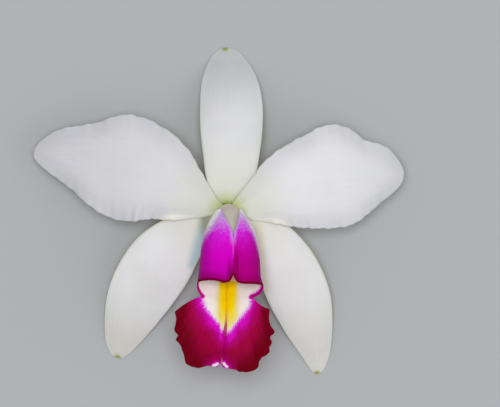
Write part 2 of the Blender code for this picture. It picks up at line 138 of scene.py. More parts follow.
SEPAL_LATERAL_RIGHT = {
    "midrib": [(0.0, 0.0), (9.0, -5.1), (15.0, -11.4), (19.8, -19.2), (23.6, -29.0), (27.1, -49.1)],
    "stations": [
        (0.00, 1.3, 1.3, SEPAL_LEVEL, 0.0),
        (0.06, 2.8, 2.8, SEPAL_LEVEL, 0.0),
        (0.20, 6.0, 6.0, 16.7, -0.3),
        (0.40, 8.1, 9.3, 14.3, 0.6),
        (0.60, 8.7, 10.5, 9.8, 1.2),
        (0.75, 8.3, 9.2, 5.6, 1.2),
        (0.85, 8.1, 7.3, 2.9, 0.8),
        (0.93, 8.0, 5.4, 1.0, 0.2),
        (1.00, 7.5, 4.5, 0.1, 0.0),
    ],
    "waves": (0.25, 2.5, 0.6),
    "shade": (0.24, 0.5),
    # Stroke along which a tan shade is painted beside the lip
    "painted_tan_shade": ((8.4, -5.0), (10.4, -23.0)),
}
PETAL_LEFT = {
    "midrib": [
        (0.0, 0.0), (-10.8, 7.5), (-19.8, 12.0), (-31.8, 14.4), (-44.4, 16.1), (-58.5, 17.7),
    ],
    "stations": [
        (0.00, 1.0, 1.0, PETAL_LEVEL, 0.0),
        (0.05, 3.2, 0.9, PETAL_LEVEL, 0.0),
        (0.10, 6.3, 1.7, 18.3, 0.0),
        (0.20, 10.9, 4.8, 18.9, -0.3),
        (0.30, 13.5, 8.9, 19.2, 0.2),
        (0.40, 15.2, 12.5, 19.1, 0.9),
        (0.50, 16.9, 15.1, 18.5, 1.5),
        (0.60, 17.1, 15.6, 17.4, 1.8),
        (0.70, 15.4, 13.3, 15.9, 1.7),
        (0.80, 11.9, 12.5, 14.0, 1.3),
        (0.90, 9.5, 12.8, 11.7, 0.7),
        (1.00, 7.5, 11.0, 9.0, 0.0),
    ],
    "waves": (0.5, 4.0, 0.15),
    "shade": (0.43, 0.5),
    "pleats": (0.445, 0.06, 16.0, 0.28),
    "scallop": 0.18,
    "lip_side": 1,
}
PETAL_RIGHT = {
    "midrib": [(0.0, 0.0), (10.2, 6.3), (18.6, 9.3), (30.6, 11.1), (42.6, 11.7), (52.9, 11.1)],
    "stations": [
        (0.00, 1.0, 1.0, PETAL_LEVEL, 0.0),
        (0.05, 1.3, 3.2, PETAL_LEVEL, 0.0),
        (0.10, 2.4, 6.3, 18.3, 0.0),
        (0.20, 4.6, 10.2, 18.9, -0.3),
        (0.30, 8.0, 12.7, 19.2, 0.2),
        (0.40, 10.7, 14.5, 19.2, 0.9),
        (0.50, 13.2, 15.7, 18.9, 1.5),
        (0.60, 15.9, 16.8, 18.3, 1.8),
        (0.70, 16.0, 17.4, 17.4, 1.9),
        (0.80, 12.5, 15.9, 15.9, 1.5),
        (0.90, 13.4, 13.3, 14.0, 1.0),
        (1.00, 11.2, 11.0, 11.4, 0.0),
    ],
    "waves": (0.5, 4.0, 0.55),
    "shade": (0.0, 0.3),
    "veins": 0.2,
    "pleats": (0.56, 0.05, 12.0, 0.15),
    "scallop": 0.18,
    "lip_side": -1,
}

# Near a petal's base its margin on the lip's side rises in a low fold and rolls down onto
# the sepal beyond it: place and spread as shares of the length, place and spread across,
# height of the fold and depth of the roll. The ridge's colour on it starts further in: the
# fold's own cream, made near white as painted light against the shade of the crease below.
FOLD_PLACE = 0.17
FOLD_SPREAD = 0.11
FOLD_ACROSS = 0.82
FOLD_WIDTH = 0.15
FOLD_HEIGHT = 0.5
ROLL_DEPTH = 0.3
RIDGE_ACROSS = 0.76
RIDGE_WIDTH = 0.15
# The other margin rolls down nearer to the base: share of the roll's depth, place and spread
# as shares of the length, and where it starts across
FAR_ROLL = 0.45
FAR_ROLL_PLACE = 0.08
FAR_ROLL_SPREAD = 0.09
FAR_ROLL_ACROSS = 0.7
# Where the pleats start across, and the pleats of a blade that has none
PLEAT_ACROSS = 0.62
NO_PLEATS = (0.5, 1.0, 0.0, 0.0)
# A stroke so far off that it leaves no mark
FAR_STROKE = ((99.0, 0.0), (99.0, 9.0))
# Share of the veins at the base of a blade and, where it has none of its own, at its tip,
# with the place where one begins to turn to the other and the length that this takes
BASE_VEINS = 0.08
TIP_VEINS = 0.42
VEINS_PLACE = 0.62
VEINS_GROWTH = 0.28
# How far the shaded margin, the cream rim, the heart's green core and the green tip show
SEPAL_SHARES = (0.0, 0.4, 0.9, 0.9)
PETAL_SHARES = (0.5, 0.15, 0.2, 0.0)

# The lip's tube: its own frame starts under the column's foot and leans towards the viewer.
# Along the tube is "reach", sideways is X, and away from its floor is "rise".
TUBE_START = np.array([0.0, -2.8, 18.0])
TUBE_LEAN = math.radians(32.0)
REACH_DIR = np.array([0.0, -math.cos(TUBE_LEAN), math.sin(TUBE_LEAN)])
RISE_DIR = np.array([0.0, math.sin(TUBE_LEAN), math.cos(TUBE_LEAN)])
SIDE_DIR = np.array([1.0, 0.0, 0.0])
# Half of the tube's width on the left and on the right, by reach
TUBE_LEFT = [(0.0, 4.2), (1.8, 4.9), (4.4, 6.1), (8.9, 7.6), (16.7, 8.3), (22.6, 8.8), (29.0, 9.4)]
TUBE_RIGHT = [
    (0.0, 4.3), (1.8, 5.0), (4.4, 6.1), (8.9, 7.45), (16.7, 8.5), (22.6, 8.8), (29.0, 9.3),
]
TUBE_HEIGHT = [
    (0.0, 7.6), (1.8, 8.2), (4.4, 9.2), (8.9, 10.3), (16.7, 11.4), (22.6, 12.0), (29.0, 12.2),
]
# Squareness of its section, and how far the whole and the top drift to the right
TUBE_SQUARENESS = 2.3
TUBE_DRIFT = 0.2
SEAM_DRIFT_START = 0.75
SEAM_DRIFT = 0.8
DRIFT_REACH = 8.0
# Half-turns round from the floor's middle to the free edge of each side lobe, by reach
LOBE_EDGE_LEFT = [(0.0, 0.83), (1.8, 0.85), (4.4, 0.912), (8.9, 0.983), (12.2, 0.996)]
LOBE_EDGE_RIGHT = [(0.0, 0.78), (1.8, 0.835), (4.4, 0.9), (8.9, 0.98), (12.2, 0.996)]
# Depth and width of the furrow along the seam, and half-turns and reach of the sinuses,
# where the side lobes part from the middle lobe
SEAM_FURROW = 0.9
FURROW_HALF_TURNS = 0.07
SINUS_LEFT = 0.30
SINUS_RIGHT = 0.26
SINUS_REACH = 27.4
# Reach of the side lobes' front margins, by half-turns from the floor's middle. A small
# cleft opens between the two lobes at 1.
FRONT_LEFT = [
    (SINUS_LEFT, SINUS_REACH), (0.40, 26.4), (0.53, 25.3), (0.70, 26.3), (0.83, 27.2),
    (0.933, 28.1), (0.971, 27.6), (0.986, 26.5), (1.00, 25.1),
]
FRONT_RIGHT = [
    (SINUS_RIGHT, SINUS_REACH), (0.38, 27.4), (0.53, 26.6), (0.70, 27.6), (0.86, 28.5),
    (0.92, 28.5), (0.952, 28.2), (0.973, 27.6), (0.991, 26.4), (1.00, 25.1),
]
# The front corners of the tube flare out over their last stretch
FLARE_LEFT = 0.3
FLARE_RIGHT = 0.8
FLARE_TURN = 0.5
FLARE_SPREAD = 0.12
FLARE_STRETCH = 3.0
# Length round the tube's wall for one half-turn, and of the middle lobe: from the throat to
# its margin, and as the colour's streaks and the keels count it
HALF_TURN_MM = 23.0
LOBE_OUT_MM = 13.0
LOBE_RUN_MM = 14.0
# The middle lobe's half-width at the throat, and how much it widens to its margin
LOBE_HALF_WIDTH = 6.0
LOBE_WIDENING = 24.0
# Distance from a mark, on a part of the lip that doesn't have it
FAR_MM = 20.0
# Half-turns over which the right side lobe begins, and share of the middle lobe likewise
RIGHT_START = 0.25
LOBE_START = 0.25

# The lip's middle lobe: its outline is a radius about a point of the throat, at degrees
# round from straight ahead (left is negative). It is ragged, with a tooth here and there.
LOBE_CENTRE = (-0.8, -31.0)
LOBE_OUTLINE = [
    (-96.0, 14.7), (-90.0, 14.2), (-82.0, 14.5), (-75.0, 15.2), (-69.0, 14.6), (-65.0, 15.7),
    (-59.5, 15.3), (-48.0, 16.1), (-40.0, 17.6), (-34.5, 17.5), (-26.5, 16.6), (-20.5, 15.2),
    (-15.0, 14.9), (-7.5, 14.8), (-1.0, 14.9), (5.0, 15.2), (12.0, 15.7), (15.0, 16.5),
    (20.0, 17.1), (28.0, 17.8), (32.5, 17.7), (37.5, 16.6), (43.0, 16.1), (51.0, 16.7),
    (56.0, 15.8), (62.0, 15.7), (64.5, 14.7), (67.5, 14.6), (73.5, 15.2), (78.0, 14.0),
    (86.0, 13.0), (100.0, 13.3),
]
# Half of the sweep from side to side and its shift, in degrees, and the notch at the tip
LOBE_HALF_SWEEP = 98.0
LOBE_SWEEP_SHIFT = 2.0
LOBE_NOTCH_ANGLE = -5.0
LOBE_NOTCH_DEPTH = 1.05
LOBE_NOTCH_SPREAD = 2.6
# Its margin's height ahead and at the sides. It waves up and down by two sines of the
# angle, with heights, counts and phases, and is frayed by two more, with counts and phases.
LOBE_FRONT_HEIGHT = 32.4
LOBE_SIDE_HEIGHT = 33.8
LOBE_RUFFLES = ((0.7, 5, 0.0), (0.2, 14, 0.5))
LOBE_FRAY = 0.1
LOBE_FRAYS = ((17, 1.1), (29, 0.0))
# Pulls of the lobe's curves at the throat and at the margin, with their fan in degrees at
# the throat and their fall at the margin
LOBE_START_PULL = 15.0
LOBE_START_FAN = 72.0
LOBE_END_PULL = 9.0
LOBE_END_FALL = 0.35
# How far the lobe's two sides bow from the straight line, up in plan
LOBE_BOW_LEFT = 0.6
LOBE_BOW_RIGHT = -0.6
TUBE_ROWS = 60
LOBE_ROWS = 64
SIDE_COLUMNS = 56
LOBE_COLUMNS = 240
# The rows close up towards the margins, and the side lobes' columns towards the seam, where
# the small cleft is
LIP_ROW_CLOSING = 0.85
SEAM_CLOSING = 1.5

# Marks of the lip in plan: the line down its middle, and half the width of the white
# throat on the left and on the right of it, by distance down from the flower's axis
MEDIAN_LINE = [
    (20.0, -0.1), (24.9, -0.3), (32.3, -0.35), (34.6, -0.5), (37.6, -0.75), (42.0, -1.35),
    (47.5, -1.7),
]
THROAT_LEFT = [
    (18.0, 11.5), (22.6, 9.2), (23.9, 8.0), (25.0, 7.0), (26.0, 6.7), (27.6, 6.35), (29.2, 5.2),
    (31.2, 3.5), (32.9, 2.0), (34.1, 1.25), (34.9, 0.75), (35.5, 0.0),
]
THROAT_RIGHT = [
    (18.0, 11.5), (22.6, 9.8), (23.9, 8.6), (25.0, 7.3), (26.0, 7.1), (27.7, 6.75),
    (28.9, 6.05), (30.5, 4.55), (31.9, 3.4), (33.2, 2.5), (34.3, 1.8), (35.3, 1.0), (36.1, 0.0),
]
# Places along the throat's outline that distances from it are measured to
THROAT_STEPS = 150
# White strokes beside the notch, and the pale line that runs up from it, thinning as it goes
NOTCH_STROKES = [((-4.2, -45.4), (-2.9, -44.8)), ((-1.0, -44.6), (-0.1, -45.7))]
CLEFT_STROKE = ((-1.36, -42.2), (-1.65, -44.6))
CLEFT_THINNING = 0.14
# Where the pale base of the tube ends on the left and on the right lobe: distance up from
# the flower's axis, by distance sideways from the seam
PALE_LEFT = [
    (0.0, 2.2), (3.5, 0.4), (4.3, -1.1), (5.6, -3.0), (6.8, -4.7), (8.1, -6.2), (9.1, -9.0),
    (10.5, -13.0),
]
PALE_RIGHT = [
    (0.0, 1.5), (1.4, 0.3), (2.2, -0.6), (3.6, -1.8), (5.0, -4.3), (6.2, -6.8), (7.5, -12.0),
]
SEAM_X = 1.7
# Under the tube the pale base ends at this reach. The underside itself ends at UNDER_TURN
# half-turns from its middle, over UNDER_FADE.
PALE_UNDER = 10.0
UNDER_TURN = 0.45
UNDER_FADE = 0.2
# The yellow lies on the tube's floor: half-turns from its middle where it has gone and over
# which it fades, and the reach from which and over which it grows
FLOOR_TURN = 0.62
FLOOR_FADE = 0.15
FLOOR_START = 3.0
FLOOR_GROWTH = 5.0
# Painted shade in strips beside the seam, where its furrow lies: distance from the seam,
# spread, where they start down the bloom, and the stretch over which they grow
SEAM_SHADE_LEFT = (0.5, 0.7, 11.5, 6.0)
SEAM_SHADE_RIGHT = (0.55, 0.55, 8.0, 7.0)
# Where the bright magenta reaches further from the throat. The tongue ahead: by how much,
# place and spread sideways, and from where and over what it grows. The spot on each side: by
# how much, their middle, place from it and spread, and place and spread down the bloom.
GLOW_TONGUE = (0.75, 0.3, 2.8, 33.0, 3.0)
GLOW_SPOTS = (0.6, 0.5, 4.8, 1.8, 34.0, 2.8)
# The maroon reaches further in at the lobe's sides: by how much, and the place across from
# which and over which it does
MAROON_SIDES = (2.5, 0.2, 0.4)
# The wall thins over this width at its margins. On its inside a groove runs down the middle
# with a keel on each side, KEEL_ASIDE from it, and on the middle lobe with one more groove:
# half-width and depth or height.
LIP_THINNING = 3.0
LIP_GROOVE = (0.35, 0.15)
LIP_KEEL = (0.65, 0.3)
KEEL_ASIDE = 1.25
LOBE_GROOVE = (0.3, 0.12)
# Where the keels start and end along the lip, and over what length
KEELS_START = 4.0
KEELS_GROWTH = 8.0
KEELS_END = 40.0
KEELS_FADE = 6.0
# Height of the middle lobe's veins, how closely they lie, and their share on the outside
LOBE_VEIN = 0.04
LOBE_VEIN_TURNS = 52
OUTSIDE_VEINS = 0.5

# Column: places along its middle and the radius there
COLUMN_PATH = [
    (0.0, 0.0, 16.3, 2.2),
    (0.0, 0.0, 19.2, 2.5),
    (0.5, -0.9, 22.2, 3.1),
    (0.9, -4.0, 25.2, 2.75),
    (0.9, -9.2, 28.6, 2.4),
    (1.1, -14.2, 31.8, 2.5),
    (1.2, -18.3, 34.3, 2.8),
]
COLUMN_ROWS = 120
COLUMN_TURNS = 96
# Spans along a path that its direction is taken over: each way, and at the column's end
PATH_STEP = 0.05
COLUMN_END_STEP = 0.25
# Shares of the radius at the column's foot, and shares and pushes of the shallow bowl at its
# end, under the anther cap
COLUMN_FOOT = (0.9,)
COLUMN_BOWL = ((0.97, 0.08), (0.9, 0.1), (0.8, 0.0), (0.5, -0.25))
# After this many spans the section begins to turn flatter below, with low wings at its
# sides. Angles run round from the upper side, and heights are shares of the radius.
SECTION_CHANGE = 2.5
FLATTENING = 0.12
WING_HEIGHT = 0.1
WING_ANGLE = 0.62 * math.pi
WING_SPREAD = 0.3
# The stigma's hollow: its depth, its spread round the column, and its place and spread along
STIGMA_DEPTH = 0.38
STIGMA_ROUND = 0.62
STIGMA_PLACE = 5.25
STIGMA_LENGTH = 0.38
# Painted light: the column is painted paler at its sides, by the sine of the angle, and at its foot,
# by distance, where it lies in shade
FLANK_START = 0.5
FLANK_GROWTH = 0.4
FOOT_END = 6.5
FOOT_FADE = 2.5
# Distances along between which the flush appears, and the distance that the cap counts as
COLUMN_FLUSH = (16.0, 28.0)
CAP_FLUSH = (2.0, 6.0)
CAP_ALONG = 1.5
# Anther cap and pollen masses: their sizes, and how far the masses' middles lie from each
# other and from the gap at the column's end
CAP_RADIUS = 2.6
CAP_DEPTH = 1.95
CAP_WALL = 0.45
CAP_GROOVE = 0.42
CAP_GROOVE_WIDTH = 0.5
# Rings and turns of the cap, and the share of its fall where the first ring lies
CAP_RINGS = 30
CAP_TURNS = 72
CAP_TOP = 0.02
POLLEN_RADIUS = 0.62
POLLEN_OFFSET = 0.5
POLLEN_DEPTH = 0.8
POLLEN_RINGS = 13
POLLEN_TURNS = 24
# Shape of the pollen masses' stalk against theirs, and how bright their grain's dark parts are
POLLEN_STALK = (0.7, 0.7, 0.8)
POLLEN_DARK = 0.6

# Ovary and flower stalk: places along the middle and the radius there
STALK_PATH = [
    (0.0, 0.0, 16.0, 4.2),
    (0.0, 0.0, 14.6, 3.5),
    (0.0, -1.1, 11.4, 3.1),
    (0.0, -4.9, 7.3, 2.9),
    (0.3, -11.0, 4.4, 2.6),
    (0.7, -19.0, 2.9, 2.2),
    (1.0, -29.0, 2.2, 1.85),
    (1.2, -38.0, 2.0, 1.75),
    (1.3, -44.0, 2.2, 1.95),
]
RIBS = 6
RIB_SHARE = 0.07
# Extra depth of each furrow, and its width in the wave that makes the ribs
FURROW_SHARE = 0.02
FURROW_WAVE = 0.25
# How far a rib's top is paler
RIB_TONE = 0.7
STALK_ROWS = 220
STALK_TURNS = 96
# Shares of the radius at its top, shares and pushes at its cut end, and how many of its last
# rings show the cut
STALK_TOP = (0.3, 0.7, 0.95)
STALK_CUT = ((0.96, 0.06), (0.85, 0.02), (0.6, -0.08), (0.3, -0.12))
CUT_RINGS = 3

# Stage: the camera in millimetres, and the lights and the floor in metres
CAMERA_X = 9.4
CAMERA_Y = 2.25
CAMERA_HEIGHT = 1217.0
SENSOR_WIDTH = 36.0
VIEW_WIDTH = 150.0
CAMERA_ABOVE = 1200.0
KEY_PLACE = (-0.02, 0.06, 1.35)
KEY_SIZE = 0.45
FILL_PLACE = (0.9, -0.3, 1.0)
FILL_SIZE = 1.0
FLOOR_SIDE = 3.0


def srgb(code):
    """Linear colour of an sRGB hex code, with full cover."""
    shares = [int(code[i : i + 2], 16) / 255 for i in (1, 3, 5)]
    linear = [c / 12.92 if c <= 0.04045 else ((c + 0.055) / 1.055) ** 2.4 for c in shares]
    return (*linear, 1.0)


def color_property(name, code, description):
    """A colour that the user can change, given as an sRGB hex code."""
    return bpy.props.FloatVectorProperty(
        name=name,
        description=description,
        subtype="COLOR",
        size=4,
        min=0.0,
        max=1.0,
        default=srgb(code),
    )


def length_property(name, millimetres, description):
    """A length that the user can change, given in millimetres."""
    return bpy.props.FloatProperty(
        name=name,
        description=description,
        unit="LENGTH",
        min=0.0,
        default=millimetres * MM,
        precision=5,
    )


def power_property(name, watts, description):
    """A light's power that the user can change."""
    return bpy.props.FloatProperty(
        name=name, description=description, unit="POWER", min=0.0, default=watts
    )


class BladeSettings(bpy.types.PropertyGroup):
    """Sepals and petals."""

    sepal_wall: length_property("Sepal thickness", 1.0, "Thickness at a sepal's midrib")
    petal_wall: length_property("Petal thickness", 0.8, "Thickness at a petal's midrib")
    margin: length_property("Margin thickness", 0.4, "Thickness at the margins")
    crimp: length_property("Petal crimps", 0.12, "Height of the small crimps along a petal's margins")
    petal_white: color_property("Petal", "#EAEAEE", "Body of a petal, a cool white")
    # Painted shade on a petal's margins and outer end; the same colour gives the clouds' random tone
    petal_shade: color_property("Petal shade", "#CACAD0", "Hollows, margins and outer end of a petal")
    petal_vein: color_property("Petal veins", "#BFC4DC", "Bluish veins of a petal")
    sepal_white: color_property("Sepal", "#F6F6F7", "Body of a sepal, a warmer white")
    # Painted shade on the dorsal sepal's outer end; the same colour gives the clouds' random tone
    sepal_shade: color_property("Sepal shade", "#BEBFC2", "Hollows and outer end of a sepal")
    # Painted shade, warm as from reflected light, on the lateral sepals' outer ends; the same colour
    # gives their clouds' random tone
    lateral_shade: color_property("Lateral shade", "#C2C0B2", "Outer end of a lateral sepal")
    sepal_vein: color_property("Sepal veins", "#D6D6D2", "Faint veins of a sepal")
    # The fold's cream, made near white as painted light against the shade of the crease below it
    cream_and_painted_light_ridge: color_property("Ridge", "#FFFEF2", "Cream fold at a petal's base")
    # Painted shadow of the lip on the left lateral sepal: blue-grey, grey-green at its upper end
    hollow: color_property("Hollow", "#9CC0CA", "Blue-grey hollow beside the lip")
    painted_shadow_top: color_property("Hollow's top", "#767E5C", "Grey-green upper end of that hollow")
    # Painted tan shade beside the lip on the right lateral sepal
    painted_tan_shade: color_property("Warm line", "#CDBFA0", "Tan line beside the lip")
    rim: color_property("Rim", "#DCD8B4", "Cream at the margins")
    cream: color_property("Base", "#DCDDD0", "Cream that the base of each blade turns to")
    heart: color_property("Heart", "#B6C478", "Green at the very base")
    core: color_property("Heart's core", "#8CA040", "Deep green beside the column")
    tip: color_property("Sepal tip", "#98A232", "Green point of each sepal")
    back_green: color_property("Sepal back", "#9DAE2C", "Green along the back of each sepal")
    back_pale: color_property("Back margin", "#E3E6C4", "Pale margins of the backs")


class LipSettings(bpy.types.PropertyGroup):
    """The lip."""

    wall: length_property("Wall", 0.8, "Thickness of the lip's wall")
    margin: length_property("Margin thickness", 0.36, "Thickness at the lip's margins")
    magenta: color_property("Magenta", "#E800D4", "Outside of the side lobes")
    # Plum is painted shade on the side lobes' sides, and the real purple under the middle lobe
    plum: color_property("Plum", "#94006E", "Shaded sides and fronts of the side lobes")
    orchid: color_property("Orchid", "#E824EE", "Speckled top of the magenta")
    lilac: color_property("Lilac", "#DCAAF8", "Speckled change from the pale base to magenta")
    pale: color_property("Pale base", "#FAF8F6", "Base of the tube")
    throat: color_property("Throat", "#F8EFEE", "White of the throat")
    yellow: color_property("Yellow", "#FFDB00", "Band down the throat")
    gold: color_property("Gold", "#EAA000", "Streaks in the yellow band and the line down its middle")
    lemon: color_property("Lemon", "#ECDC74", "Where the yellow band fades")
    bright: color_property("Bright magenta", "#DC08C8", "Band round the throat")
    rose: color_property("Rose", "#B4006C", "Between the bright band and the crimson")
    crimson: color_property("Crimson", "#A2003E", "Body of the middle lobe")
    maroon: color_property("Maroon", "#700014", "Outer part of the middle lobe and margins")
    # Painted shade on the side lobes' fronts, their lower part and the strips beside the seam
    painted_wine_shade: color_property("Wine", "#8C0048", "Fronts of the side lobes")
    split: color_property("Split", "#E0A880", "Pale line that runs up from the notch")


class ColumnSettings(bpy.types.PropertyGroup):
    """Column, anther cap and pollen masses."""

    back: color_property("Column back", "#CEC5BA", "Back of the column")
    # Painted light: the column's sides and foot are painted paler against the shade they lie in
    side: color_property("Column sides", "#FAF5E8", "Paler sides and foot of the column")
    flush: color_property("Column flush", "#C98AC0", "Purple flush at the column's end")
    cap: color_property("Anther cap", "#E2A896", "Anther cap")
    pollen: color_property("Pollen", "#E2B422", "Waxy pollen masses")


class StalkSettings(bpy.types.PropertyGroup):
    """Ovary and stalk."""

    green: color_property("Stalk", "#8FA33A", "Green of the ovary and stalk")
    furrow: color_property("Furrows", "#6C8228", "Darker green in the furrows")
    pale: color_property("Ribs", "#B7C26C", "Pale tops of the ribs")
    cut: color_property("Cut end", "#B9B27A", "Drying tissue of the cut end")


class StageSettings(bpy.types.PropertyGroup):
    """Floor, lights and camera."""

    floor: color_property("Floor", "#B8BABD", "Plain matt floor")
    key_power: power_property("Key light", 9.4, "Power of the large soft light")
    fill_power: power_property("Fill light", 2.2, "Power of the weak second light")
    sky: bpy.props.FloatProperty(
        name="Surround", description="Strength of the even light all round", min=0.0, default=0.33
    )


def cubic(t, start, start_slope, end, end_slope):
    """Cubic that runs from start to end as t runs from 0 to 1, with these slopes there."""
    return (
        (2 * t**3 - 3 * t**2 + 1) * start
        + (t**3 - 2 * t**2 + t) * start_slope
        + (3 * t**2 - 2 * t**3) * end
        + (t**3 - t**2) * end_slope
    )


def smooth(knots, x):
    """Smooth curve through (place, height) knots, level beyond them: a cubic on each span,
    whose slope at a knot is the rise between its two neighbours over their distance."""
    places, heights = np.array(knots, float).T
    number = np.arange(len(places))
    before = np.maximum(number - 1, 0)
    after = np.minimum(number + 1, len(places) - 1)
    slopes = (heights[after] - heights[before]) / (places[after] - places[before])
    x = np.clip(x, places[0], places[-1])
    i = np.clip(np.searchsorted(places, x, side="right") - 1, 0, len(places) - 2)
    width = places[i + 1] - places[i]
    t = (x - places[i]) / width
    return cubic(t, heights[i], width * slopes[i], heights[i + 1], width * slopes[i + 1])


def by_side(side, left, right, x):
    """Smooth curve through the left knots where side is negative, else the right ones."""
    return np.where(side < 0, smooth(left, x), smooth(right, x))


def ease(x):
    """Soft step from 0 at 0 to 1 at 1."""
    x = np.clip(x, 0.0, 1.0)
    return x * x * (3 - 2 * x)


def past(x, start):
    """Soft step from 0 at the start to 1 at 1."""
    return ease((x - start) / (1 - start))


def bump(x, spread, height=1.0):
    """Bell curve about 0."""
    return height * np.exp(-((x / spread) ** 2))


def grid_quads(number):
    """Quads of a grid, given the number of each of its corners: corner, next column,
    next column of the next row, next row."""
    return np.stack(
        [number[:-1, :-1], number[:-1, 1:], number[1:, 1:], number[1:, :-1]], axis=-1
    ).reshape(-1, 4)


def unit(vectors):
    """The same directions at length 1."""
    lengths = np.linalg.norm(vectors, axis=-1, keepdims=True)
    return vectors / np.maximum(lengths, 1e-12)


def corner_normals(points, quads):
    """Normal of each corner: the sum of its quads' diagonal cross products, at length 1."""
    across = points[quads[:, 2]] - points[quads[:, 0]]
    along = points[quads[:, 3]] - points[quads[:, 1]]
    normals = np.zeros_like(points)
    for k in range(4):
        np.add.at(normals, quads[:, k], np.cross(across, along))
    return unit(normals)


def shell(points, quads, front, back):
    """Closed wall about an open surface: each corner goes out along its normal by front and
    in by back, and a half-round rim of RIM_STEPS quads joins the two along the free edge.

    Gives points, quads, the surface corner that each point comes from, and its side, from 1
    on the front to -1 on the back.
    """
    normals = corner_normals(points, quads)
    middle = points + normals * ((front - back) / 2)[:, None]
    half = (front + back) / 2
    count = len(points)
    starts = quads.reshape(-1)
    ends = np.roll(quads, -1, axis=1).reshape(-1)
    free = ~np.isin(starts * count + ends, ends * count + starts)
    starts, ends = starts[free], ends[free]
    outward = np.zeros_like(points)
    turned = unit(np.cross(points[ends] - points[starts], normals[starts] + normals[ends]))
    np.add.at(outward, starts, turned)
    np.add.at(outward, ends, turned)
    rim = np.unique(starts)
    slot = np.zeros(count, int)
    slot[rim] = np.arange(len(rim))
    outward = unit(outward[rim])
    all_points = [middle + normals * half[:, None], middle - normals * half[:, None]]
    sources = [np.arange(count), np.arange(count)]
    sides = [np.ones(count), -np.ones(count)]
    rings = [rim]
    for step in range(1, RIM_STEPS):
        angle = math.pi * (0.5 - step / RIM_STEPS)
        swing = normals[rim] * math.sin(angle) + outward * math.cos(angle)
        rings.append(2 * count + (step - 1) * len(rim) + np.arange(len(rim)))
        all_points.append(middle[rim] + swing * half[rim, None])
        sources.append(rim)
        sides.append(np.full(len(rim), math.sin(angle)))
    rings.append(rim + count)
    faces = [quads, quads[:, ::-1] + count]
    for ring, following in zip(rings, rings[1:]):
        a, b = slot[starts], slot[ends]
        faces.append(np.stack([ring[a], following[a], following[b], ring[b]], axis=-1))
    return tuple(np.concatenate(parts) for parts in (all_points, faces, sources, sides))


def make_piece(name, points, faces, material, node, fields):
    """One finished object that stands for a solid of the frame.

    Points are millimetres from the flower's axis. Fields are numbers for each point, which
    the material reads by name.
    """
    mesh = bpy.data.meshes.new(name)
    points = np.asarray(points) + AXIS
    points[:, 2] = np.maximum(points[:, 2], 0.0)
    mesh.from_pydata((points * MM).tolist(), [], [list(face) for face in faces])
    for field, values in fields.items():
        layer = mesh.attributes.new(field, "FLOAT", "POINT")
        layer.data.foreach_set("value", np.asarray(values, np.float32).ravel())
    mesh.shade_smooth()
    mesh.materials.append(material)
    mesh.validate()
    mesh.update()
    piece = bpy.data.objects.new(name, mesh)
    bpy.context.scene.collection.objects.link(piece)
    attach(piece, "root")
    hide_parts(node)


def add_node(tree, kind, inputs=None, output=0, stops=None, **settings):
    """Adds a node with its settings and gives one of its outputs.

    An input is a value, or the output that feeds it. Stops are the places and colours of a
    ramp.
    """
    node = tree.nodes.new(kind)
    for name, value in settings.items():
        setattr(node, name, value)
    for key, value in (inputs or {}).items():
        if isinstance(value, bpy.types.NodeSocket):
            tree.links.new(value, node.inputs[key])
        else:
            node.inputs[key].default_value = value
    if stops:
        ramp = node.color_ramp
        while len(ramp.elements) < len(stops):
            ramp.elements.new(0.5)
        for element, (place, color) in zip(ramp.elements, stops):
            element.position = place
            element.color = color
    return node.outputs[output] if node.outputs else node


def new_material(name):
    """An empty node material, with a function that adds nodes to it."""
    material = bpy.data.materials.new(name)
    material.use_nodes = True
    material.node_tree.nodes.clear()
    return material, partial(add_node, material.node_tree)


def lay_colors(node, color, layers):
    """Lays colours over each other. Each layer is a field, its values where the layer's share
    is nothing and where it is full, the full share, which may itself be an output, and the
    colour."""
    for field, none, full, most, paint in layers:
        share = node(
            "ShaderNodeMapRange",
            {0: field, 1: none, 2: full, 3: 0.0, 4: most},
            interpolation_type="SMOOTHSTEP",
        )
        color = node("ShaderNodeMix", {0: share, 6: color, 7: paint}, output=2, data_type="RGBA")
    return color


def finish_skin(node, relief, inputs):
    """Ends a material with its surface, from the given inputs, and its output. The relief is
    the height that roughens the skin, how strongly, and its depth in metres."""
    height, strength, depth = relief
    normal = node("ShaderNodeBump", {"Height": height, "Strength": strength, "Distance": depth})
    skin = node("ShaderNodeBsdfPrincipled", {**inputs, "Normal": normal})
    node("ShaderNodeOutputMaterial", {"Surface": skin})


